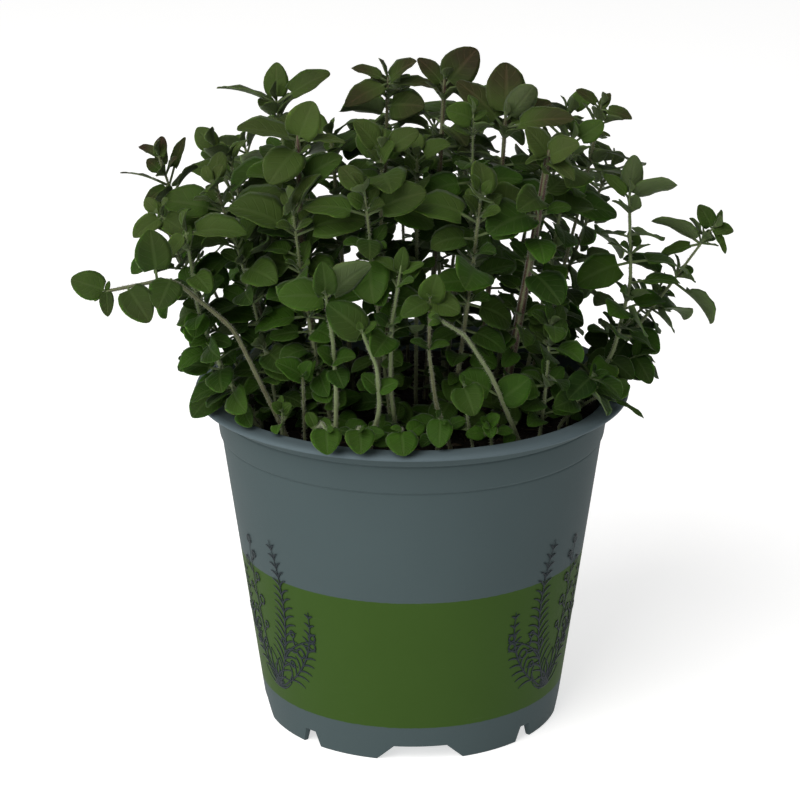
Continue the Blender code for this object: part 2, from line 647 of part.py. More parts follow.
def leaf_frame(shoot, t, azimuth, rise, roll):
    """Where a leaf leaves the stem, its direction, side and normal, which leans to the sky and outwards."""
    centre, tangent = axis_at(shoot, t)
    out = tilted(tangent, level_direction(azimuth))
    along = unit(out * math.cos(rise) + tangent * math.sin(rise))
    outward = np.array([centre[0], centre[1], 0.0]) / CROWN_RADIUS
    facing = 0.25 * tangent + 0.50 * np.array([0.0, 0.0, 1.0]) + 0.95 * outward
    normal = facing - along * (facing @ along)
    if np.linalg.norm(normal) < 0.15:
        normal = normal + tangent - along * (tangent @ along)
    normal = turned(along, roll, unit(normal))
    return centre, along, np.cross(normal, along), normal


def blade_half_width(u):
    """Half-width of an ovate blade: 1 at about 0.38 of its length, and round at both ends."""
    return (1 - (2 * u**0.72 - 1) ** 2) ** 0.54


def leaf_point(leaf, distance):
    """A point of the leaf's spine, with the normal there: a straight petiole, then an arc that droops."""
    centre, along, side, normal = leaf["frame"]
    petiole, length, curl = leaf["petiole"], leaf["length"], leaf["curl"]
    if distance <= petiole:
        return centre + along * distance, normal
    bent = curl * (distance - petiole) / length
    radius = length / curl
    spine = centre + along * (petiole + radius * math.sin(bent)) - normal * radius * (1 - math.cos(bent))
    return spine, normal * math.cos(bent) + along * math.sin(bent)


def leaf_rings(leaf, start, grow):
    """Rings of four points (left, top, right, bottom) from a distance off the stem's middle, then the tip."""
    petiole, length, width = leaf["petiole"], leaf["length"], leaf["width"]
    stations = [(start, PETIOLE_HALF, 0.0)]
    shares, stalked = leaf["kind"]
    if stalked:
        stations.append((petiole, PETIOLE_HALF * 1.15, 0.0))
    for u in shares:
        stations.append((petiole + u * length, 0.5 * width * blade_half_width(u), FOLD))
    rings = []
    side = leaf["frame"][2]
    for distance, half, fold in stations:
        spine, normal = leaf_point(leaf, distance)
        reach = half + grow
        edge = side * reach * math.cos(fold)
        lift = normal * reach * math.sin(fold)
        thick = normal * (0.5 * BLADE_THICKNESS + grow)
        rings.append([spine - edge + lift, spine + thick, spine + edge + lift, spine - thick])
    tip, _ = leaf_point(leaf, petiole + length + grow)
    return rings, tip


def leaf_mesh(leaf, start=0.0, grow=0.0):
    """Points and triangles of one closed blade. Top and bottom are split alike, so the faces can't cross."""
    rings, tip = leaf_rings(leaf, start, grow)
    points = [p for ring in rings for p in ring] + [tip]
    faces = [(0, 1, 2, 3)]
    stalk = 1 if leaf["kind"][1] else 0
    for i in range(4 * stalk):
        after = (i + 1) % 4
        faces.append((i, i + 4, after + 4, after))
    for k in range(stalk, len(rings) - 1):
        left, top, right, bottom = range(4 * k, 4 * k + 4)
        left2, top2, right2, bottom2 = range(4 * k + 4, 4 * k + 8)
        faces += [(left, top2, top), (left, left2, top2), (left, bottom, bottom2), (left, bottom2, left2)]
        faces += [(right, top, top2), (right, top2, right2)]
        faces += [(right, bottom2, bottom), (right, right2, bottom2)]
    left, top, right, bottom = range(len(points) - 5, len(points) - 1)
    end = len(points) - 1
    faces += [(left, end, top), (top, end, right), (right, end, bottom), (bottom, end, left)]
    return points, faces


def tree_of(points, faces):
    return BVHTree.FromPolygons([tuple(map(float, p)) for p in points], faces, all_triangles=False)


def box_of(points):
    points = np.array(points)
    return points.min(axis=0), points.max(axis=0)


def boxes_meet(a, b):
    return bool((a[0] <= b[1]).all() and (b[0] <= a[1]).all())


def pot_obstacle():
    """The pot's flange, wall and compost as one turned sheet, for the leaves to stay clear of."""
    grow = LEAF_CLEARANCE
    profile = [
        (0.0, SOIL_RIM + SOIL_DOME + grow),
        (WALL_TOP_RADIUS - WALL - 0.001, SOIL_RIM + grow),
        (WALL_TOP_RADIUS - WALL - 0.001, POT_HEIGHT + grow),
        (RIM_RADIUS + grow, POT_HEIGHT + grow),
        (RIM_RADIUS + grow, POT_HEIGHT - RIM_EDGE - 0.001),
        (WALL_TOP_RADIUS + 0.002, WALL_TOP_HEIGHT),
        (FOOT_RADIUS, 0.0),
    ]
    sides = 48
    points, faces = [], []
    for radius, height in profile:
        level = [radius * level_direction(2 * math.pi * k / sides) for k in range(sides)]
        points += [point + np.array([0.0, 0.0, height]) for point in level]
    for j in range(len(profile) - 1):
        for k in range(sides):
            after = (k + 1) % sides
            faces.append((j * sides + k, j * sides + after, (j + 1) * sides + after, (j + 1) * sides + k))
    return tree_of(points, faces), box_of(points)


def stem_obstacle(shoot):
    """The stem as a slightly fat tube, above the compost."""
    points, faces = tube(stem_rings(shoot, STEM_CLEARANCE)[1:])
    return tree_of(points, faces), box_of(points)


def inside_limits(leaf):
    low, high = box_of(leaf_mesh(leaf)[0])
    reach = np.maximum(-low[:2], high[:2])
    return bool((reach < SPREAD_LIMIT).all() and high[2] < HEIGHT_LIMIT)


def free_place(leaf, start, obstacles):
    """True where the leaf, grown by its clearance and taken from a distance off its stem, meets nothing."""
    points, faces = leaf_mesh(leaf, start, LEAF_CLEARANCE)
    box = box_of(points)
    near = [tree for tree, other in obstacles if boxes_meet(box, other)]
    if not near:
        return True
    tree = tree_of(points, faces)
    return not any(tree.overlap(other) for other in near)


def ruled_leaf(shoot, t, azimuth, rise, length, habit, turn, lift, size):
    """A leaf by the plant's rule, turned sideways and up by so many degrees, at a share of its size."""
    frame = leaf_frame(shoot, t, azimuth + math.radians(turn), math.radians(rise + lift), habit["roll"])
    long = length * size
    return {
        "frame": frame,
        "petiole": habit["stalk"] * long + 0.0012,
        "length": long,
        "width": long * habit["aspect"],
        "curl": habit["curl"],
        "kind": habit["kind"],
    }


def set_leaf(shoot, facts, turn, lift, size):
    """A leaf set by hand, turned within its face and out of it by so many degrees, at a share of its size."""
    below, right, up, nearer, facing, aspect, stalk = facts
    centre, _ = axis_at(shoot, share_below_tip(shoot, below * MILLIMETRE))
    viewer = np.array([0.0, -math.cos(VIEW_RISE), math.sin(VIEW_RISE)])
    upright = np.array([0.0, math.sin(VIEW_RISE), math.cos(VIEW_RISE)])
    reach = (np.array([right, 0.0, 0.0]) + upright * up + viewer * nearer) * MILLIMETRE
    total = np.linalg.norm(reach) * size
    chord = unit(reach)
    face = viewer * math.cos(math.radians(facing)) + np.array([0.0, 0.0, math.sin(math.radians(facing))])
    normal = unit(face - chord * (face @ chord))
    chord = turned(normal, math.radians(turn), chord)
    bow = 0.4 * SET_CURL + math.radians(lift)
    along = chord * math.cos(bow) + normal * math.sin(bow)
    normal = normal * math.cos(bow) - chord * math.sin(bow)
    long = total / (1 + stalk)
    return {
        "frame": (centre, along, np.cross(normal, along), normal),
        "petiole": total - long,
        "length": long,
        "width": long * aspect,
        "curl": SET_CURL,
        "kind": (SMALL_SHARES if long < SMALL_LEAF else SET_SHARES, stalk > LONG_STALK),
    }


def first_free(makers, others, own):
    """The first of the leaves that is free of other shoots and of its own shoot's leaves, or None."""
    for make in makers:
        leaf = make()
        if inside_limits(leaf) and free_place(leaf, 0.0, others) and free_place(leaf, OWN_STEM_REACH, own):
            return leaf
    return None


def keep_leaf(shoot, leaf):
    """Adds the leaf to its shoot, and its solid to what other leaves stay clear of."""
    shoot["leaves"].append(leaf)
    for start, group in ((0.0, shoot["solids"]), (OWN_STEM_REACH, shoot["own"])):
        points, faces = leaf_mesh(leaf, start)
        group.append((tree_of(points, faces), box_of(points)))


def grow_set_leaves(shoot, others):
    """The leaves set by hand, each as near to its place as the others leave room for."""
    for facts in SET_LEAVES.get(shoot["name"], ()):
        changes = [(turn, lift, size) for size in SET_SIZES for turn, lift in SET_TURNS]
        makers = [partial(set_leaf, shoot, facts, *change) for change in changes]
        leaf = first_free(makers, others, shoot["own"])
        if leaf:
            keep_leaf(shoot, leaf)


def grow_ruled_leaves(shoot, others, draw):
    """Opposite pairs, each pair a quarter turn from the next, below any leaves that were set by hand."""
    stem_length = shoot["steps"][-1]
    scale = min(1.0, 0.45 + stem_length / 0.11)
    taken = max((facts[0] * MILLIMETRE + SET_GAP for facts in SET_LEAVES.get(shoot["name"], ())), default=0.0)
    for k, (below, length, rise) in enumerate(LEAF_PAIRS[: shoot["pairs"]]):
        below = below * (0.7 + 0.3 * scale) * draw.uniform(0.94, 1.06)
        spread = draw.uniform(-10, 10, 2)
        if below < taken or below > stem_length - 0.004:
            continue
        t = share_below_tip(shoot, below)
        for j in range(2):
            azimuth = shoot["azimuth"] + math.pi * (0.5 * k + j)
            long = length * shoot["leaf_size"] * scale * draw.uniform(0.92, 1.08)
            habit = {
                "curl": math.radians(draw.uniform(*CURL)),
                "aspect": LEAF_ASPECT * draw.uniform(0.92, 1.08),
                "stalk": PETIOLE_SHARE * draw.uniform(0.8, 1.2),
                "roll": math.radians(draw.uniform(-ROLL, ROLL)),
                "kind": KINDS[k],
            }
            place = (shoot, t, azimuth, rise + spread[j], long, habit)
            changes = [(turn, lift, size) for size in SIZES for turn, lift in TURNS]
            makers = [partial(ruled_leaf, *place, *change) for change in changes]
            leaf = first_free(makers, others, shoot["own"])
            if leaf:
                keep_leaf(shoot, leaf)


def grow_leaves(shoots, draw):
    """Sets one leaf at a time among what stands already: first those set by hand, then the rule's pairs."""
    pot = pot_obstacle()
    for shoot in shoots:
        shoot["solids"] = [stem_obstacle(shoot)]
        shoot["own"] = []
        shoot["leaves"] = []
    for by_hand in (True, False):
        for shoot in shoots:
            others = [item for other in shoots if other is not shoot for item in other["solids"]] + [pot]
            if by_hand:
                grow_set_leaves(shoot, others)
            else:
                grow_ruled_leaves(shoot, others, draw)


def grow_plant():
    """Every shoot with its leaves, the same on each run."""
    draw = np.random.default_rng(SEED)
    shoots = named_shoots()
    add_ruled_shoots(shoots, draw)
    grow_leaves(shoots, draw)
    return shoots


def tidy(mesh):
    """Takes out the vertices that only split a straight edge."""
    work = bmesh.new()
    work.from_mesh(mesh)
    passing = [vert for vert in work.verts if len(vert.link_edges) == 2]
    bmesh.ops.dissolve_verts(work, verts=passing)
    work.to_mesh(mesh)
    work.free()


def is_one_closed_body(mesh):
    """True where every edge has two faces and every face can be reached from the first one over edges."""
    work = bmesh.new()
    work.from_mesh(mesh)
    closed = all(len(edge.link_faces) == 2 for edge in work.edges)
    work.faces.ensure_lookup_table()
    reached, front = {work.faces[0]}, [work.faces[0]]
    while front:
        face = front.pop()
        fresh = {other for edge in face.edges for other in edge.link_faces} - reached
        reached |= fresh
        front.extend(fresh)
    whole = len(reached) == len(work.faces)
    work.free()
    return closed and whole


def make_leafy_stem(number, shoot, material):
    """One shoot as a single solid: its square stem joined with all its leaves."""
    name = f"leafy_stem_{number:02d}"
    stem = add_object(name, *tube(stem_rings(shoot)), material)
    group = bpy.data.collections.new(name + "_leaves")
    bpy.context.scene.collection.children.link(group)
    for k, leaf in enumerate(shoot["leaves"]):
        blade = add_object(f"blade_{number}_{k}", *leaf_mesh(leaf))
        bpy.context.scene.collection.objects.unlink(blade)
        group.objects.link(blade)
    join = stem.modifiers.new("join_leaves", "BOOLEAN")
    join.operation = "UNION"
    join.operand_type = "COLLECTION"
    join.collection = group
    for solver in ("EXACT", "MANIFOLD"):
        join.solver = solver
        graph = bpy.context.evaluated_depsgraph_get()
        joined = bpy.data.meshes.new_from_object(stem.evaluated_get(graph))
        tidy(joined)
        if is_one_closed_body(joined):
            break
    stem.modifiers.clear()
    stem.data = joined
    for blade in list(group.objects):
        bpy.data.objects.remove(blade, do_unlink=True)
    bpy.data.collections.remove(group)
    stem.data.shade_flat()
    return stem


def main():
    clear_scene()
    shoots = grow_plant()
    make_pot(make_material("pot_plastic", POT_GREY))
    make_soil(shoots, make_material("compost", COMPOST_BROWN))
    green = make_material("oregano_green", LEAF_GREEN)
    for number, shoot in enumerate(shoots, 1):
        make_leafy_stem(number, shoot, green)


main()
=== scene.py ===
import json
import math

import bpy
import numpy as np
from mathutils.bvhtree import BVHTree
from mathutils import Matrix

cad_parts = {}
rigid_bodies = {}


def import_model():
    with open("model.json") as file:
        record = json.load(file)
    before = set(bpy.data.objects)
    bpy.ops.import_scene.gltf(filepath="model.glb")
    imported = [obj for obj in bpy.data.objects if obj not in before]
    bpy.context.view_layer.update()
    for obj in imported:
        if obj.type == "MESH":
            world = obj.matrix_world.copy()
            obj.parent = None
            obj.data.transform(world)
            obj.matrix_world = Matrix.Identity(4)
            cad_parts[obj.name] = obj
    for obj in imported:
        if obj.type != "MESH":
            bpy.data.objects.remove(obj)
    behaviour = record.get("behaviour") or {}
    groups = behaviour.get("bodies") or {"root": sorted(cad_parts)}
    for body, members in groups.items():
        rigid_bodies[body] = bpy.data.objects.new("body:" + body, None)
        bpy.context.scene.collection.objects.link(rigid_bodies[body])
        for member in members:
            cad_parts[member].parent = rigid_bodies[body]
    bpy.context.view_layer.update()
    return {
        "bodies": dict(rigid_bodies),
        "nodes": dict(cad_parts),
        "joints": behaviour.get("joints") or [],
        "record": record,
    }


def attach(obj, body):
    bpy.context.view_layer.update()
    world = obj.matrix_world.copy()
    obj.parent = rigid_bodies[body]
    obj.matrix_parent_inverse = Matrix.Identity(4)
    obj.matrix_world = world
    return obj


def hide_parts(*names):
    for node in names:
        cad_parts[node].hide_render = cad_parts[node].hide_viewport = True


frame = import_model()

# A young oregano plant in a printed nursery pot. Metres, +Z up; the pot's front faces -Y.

# Pot: a 13 cm nursery pot, turned about Z
RIM_RADIUS = 0.0650
POT_HEIGHT = 0.1035
FOOT_RADIUS = 0.0449
WALL_TOP_RADIUS = 0.0589
WALL_TOP_HEIGHT = 0.0975
LEDGE_HEIGHT = 0.0895
LEDGE_STEP = 0.0005
WALL = 0.0011
RIM_EDGE = 0.0012
FLOOR_UNDERSIDE = 0.0052
FLOOR_TOP = 0.0064
# Sides of the pot as the leaves' growth sees it
POT_SIDES = 48

# Feet: eight lands between four wide and four narrow notches in the skirt
NOTCH_TOP = 0.0047
NOTCH_TURN = math.radians(3.2)
WIDE_NOTCH = (math.radians(16.6), math.radians(10.0))
NARROW_NOTCH = (math.radians(4.3), math.radians(2.4))
DRAIN_RADIUS = 0.0022
DRAIN_CIRCLE = 0.0310

# Compost
SOIL_RIM = 0.0950
SOIL_DOME = 0.0020
FIT_GAP = 0.0003
PLANTING_DEPTH = 0.0060

# Shoots
SEED = 23
SPIRAL_PLACES = 34
RULED_SHOOTS = 17
ROOT_SPREAD = 0.0500
ROOT_SPACING = 0.0062
INNER_REACH = 0.0380
CROWN_HEIGHT = 0.1990
CROWN_FALL = 0.0500
CROWN_RADIUS = 0.0900
STEM_SPACING = 0.0029
STEM_FOOT = 0.00088
STEM_TIP = 0.00056
STEM_RINGS = 4
COLLAR = 0.0035
# Shoots by rule: how far root and turn wander, the lean and swing of the tip, its place under the dome, where
# the knee lies, and the ranges of leaf size and stem thickness
TRIES = 8
ROOT_WANDER = 0.0015
TURN_WANDER = 0.12
TIP_LEAN = (1.3, 1.6)
TIP_SWING = 0.2
TIP_OUT = 0.002
TIP_DROP = 0.026
KNEE_SHARE = (0.45, 0.85)
KNEE_LIFT = (0.45, 0.62)
RULED_SIZE = (0.9, 1.15)
RULED_THICKNESS = (0.85, 1.15)

# Leaves: distance of each pair below the shoot's tip, its length, its rise above the stem's cross plane
LEAF_PAIRS = (
    (0.0022, 0.0085, 46.0),
    (0.0080, 0.0138, 20.0),
    (0.0205, 0.0130, 4.0),
    (0.0350, 0.0108, -6.0),
    (0.0520, 0.0085, -8.0),
)
# Where a blade has its rings, as shares of its length; for each pair, those shares and whether the stalk
# ends in a ring of its own
SMALL_SHARES = (0.42,)
LARGE_SHARES = (0.18, 0.62)
SMALL_KIND = (SMALL_SHARES, False)
KINDS = (SMALL_KIND, (LARGE_SHARES, False), SMALL_KIND, SMALL_KIND, SMALL_KIND)
# How far a blade droops, and rolls to either side, in degrees
CURL = (18, 58)
ROLL = 22
# Ranges of a ruled leaf's distance, size, breadth and stalk about the rule's own, and of its rise in degrees
PLACE_RANGE = (0.94, 1.06)
SIZE_RANGE = (0.92, 1.08)
BREADTH_RANGE = (0.92, 1.08)
STALK_RANGE = (0.8, 1.2)
RISE_RANGE = (-10, 10)
# Leaves are smaller and closer on stems shorter than the full length, and none stands just above the compost
LEAST_SCALE = 0.45
FULL_LENGTH = 0.11
FOOT_CLEAR = 0.004
# How much a blade's upper face looks along the stem, to the sky and outwards
ALONG_STEM, TO_SKY, OUTWARDS = 0.25, 0.50, 0.95
LEAST_FACING = 0.15
# No leaf reaches beyond this box about the pot's middle
SPREAD_LIMIT = (0.0970, 0.0670)
HEIGHT_LIMIT = 0.2070
LEAF_ASPECT = 0.84
PETIOLE_SHARE = 0.26
PETIOLE_LEAST = 0.0012
PETIOLE_HALF = 0.00042
BLADE_THICKNESS = 0.0008
FOLD = math.radians(15.0)
LEAF_CLEARANCE = 0.0006
STEM_CLEARANCE = 0.0002
OWN_STEM_REACH = 0.0018
# How far a leaf may turn sideways and up, in degrees, to find a free place, the least change first
TURNS = (
    (0, 0), (14, 0), (-14, 0), (0, 12), (0, -12), (14, 12), (-14, 12), (14, -12), (-14, -12), (28, 0),
    (-28, 0), (0, 24), (0, -22), (28, 14), (-28, 14), (28, -14), (-28, -14), (42, 0), (-42, 0), (20, 30),
    (-20, 30), (42, 20), (-42, 20), (56, 8), (-56, 8), (0, 40), (30, 42), (-30, 42),
)
SIZES = (1.0, 0.86, 0.72)

# Shoots that the eye picks out: root on the compost, knee and tip of the curve in millimetres, turn of the
# top leaf pair in degrees, leaf size, stem thickness, and how many leaf pairs the rule may add
NAMED_SHOOTS = (
    ("crown_dark", (4, 0), (8, 0, 160), (9.5, 0, 197), 20, 1.1, 1.2, 5),
    ("crown_purple", (-7, 8), (-9, 10, 150), (-7, 10, 195), 70, 1.15, 1.1, 5),
    ("crown_right", (17, -6), (26, -10, 150), (27, -10, 188), 15, 1.2, 1.2, 5),
    ("crown_small", (13, -13), (18, -18, 150), (17.5, -18, 191), 0, 0.9, 0.8, 4),
    ("top_left", (-22, 2), (-34, -2, 150), (-39.5, -5, 192), 10, 1.1, 1.0, 5),
    ("purple_right", (34, 4), (50, 5, 150), (55.5, 5, 188), 20, 0.85, 0.9, 4),
    ("front_right", (25, -26), (33, -34, 145), (38.5, -35, 184), 35, 1.15, 1.4, 5),
    ("front_left", (-24, -26), (-33, -34, 145), (-32, -35, 188.5), 5, 1.1, 1.3, 5),
    ("purple_left", (-40, -6), (-66, -12, 146), (-73, -15, 178), 30, 0.8, 0.8, 4),
    ("heart_left", (-43, -15), (-66, -32, 146), (-71, -35, 166), 60, 0.95, 0.9, 4),
    ("pale_left", (-44, -23), (-62, -43, 124), (-63.5, -42, 163), 0, 1.0, 1.0, 4),
    ("bright_left", (-33, 13), (-52, 16, 150), (-59, 16, 173), 10, 1.0, 1.0, 5),
    ("broad_left", (-32, -17), (-50, -24, 148), (-56, -26, 172), 80, 1.05, 1.0, 5),
    ("inner_left", (-38, -28), (-43, -32, 132), (-50, -34, 157), 30, 0.95, 0.9, 4),
    ("light_right", (49, -9), (69, -11, 121), (63, -10, 165), 25, 1.05, 1.0, 4),
    ("far_right", (51, 2), (67, 1, 119), (89, 0, 152), 0, 1.0, 0.9, 3),
    ("low_right", (49, -3), (57, -5, 108), (67, -6, 114), 30, 0.9, 0.8, 0),
    ("low_right_back", (47, 13), (64, 14, 116), (74, 12, 128), 30, 0.8, 0.8, 3),
    ("rim_right", (46, -17), (52, -20, 105), (56, -22, 107), 45, 0.9, 0.8, 0),
    ("low_right_dark", (43, -26), (50, -33, 112), (52, -36, 118), 20, 0.9, 0.8, 0),
    ("slim_right", (37, -34), (39, -37, 115), (39.5, -35, 133), 40, 0.95, 0.8, 3),
    ("arching_left", (-36, -36), (-56, -50, 167), (-86, -50, 147), 80, 1.2, 1.0, 0),
    ("hairy_left", (-44, -31), (-52, -37, 114), (-58.5, -40, 131), 50, 0.9, 1.0, 0),
    ("rim_left", (-48, -16), (-52, -22, 108), (-56, -24, 111), 50, 1.1, 0.8, 0),
    ("rim_left_back", (-50, -5), (-57, -8, 112), (-65.5, -8, 113), 30, 0.8, 0.7, 0),
    ("back_arch", (10, 49), (15, 58, 148), (18, 61, 162), 80, 1.1, 1.0, 5),
    ("back_left", (-33, 38), (-46, 48, 148), (-52, 53, 163), 35, 1.1, 1.0, 5),
    ("back_right", (38, 32), (55, 43, 148), (62, 47, 159), 25, 1.1, 1.0, 5),
    ("centre_left", (-22, -46), (-20, -55, 126), (-24, -58.5, 149.5), 10, 1.1, 1.1, 0),
    ("centre_bow", (-12, -47), (-5, -61, 124), (-14, -60.5, 139), 0, 0.95, 1.0, 0),
    ("centre_pale", (-4, -43), (-9, -51, 128), (-3, -53, 155.5), 60, 0.9, 1.0, 3),
    ("centre_red", (11, -44), (3, -52, 120), (5, -57, 148), 0, 1.0, 1.0, 0),
    ("centre_arch", (31, -40), (18, -60, 141), (7.5, -63, 143), 30, 0.8, 1.0, 0),
    ("front_heart", (17.5, -45), (15, -50, 112), (14.5, -55.5, 121.5), 10, 0.9, 0.7, 0),
    ("rim_front_left", (-28, -43), (-26, -52, 113), (-24, -60, 109.5), 5, 0.85, 0.8, 0),
    ("rim_front_mid", (-16, -51), (-15, -55, 112), (-14.5, -60.5, 109.5), 10, 0.85, 0.8, 0),
    ("rim_front", (-3, -51), (-3, -56, 112), (-3, -60.5, 109), 20, 0.9, 0.8, 0),
    ("rim_bent", (7, -51), (8, -54, 113), (8, -57, 112), 30, 0.85, 0.8, 0),
    ("rim_front_right", (23, -46), (21.5, -51, 112), (21.5, -55, 109.5), 10, 0.9, 0.8, 0),
    ("rim_small_left", (-37, -41), (-37, -43, 106), (-37, -45, 110.5), 10, 0.9, 0.7, 0),
    ("left_pair", (-31, -36), (-31, -41, 112), (-31, -46.5, 121.5), 10, 0.9, 0.8, 0),
)
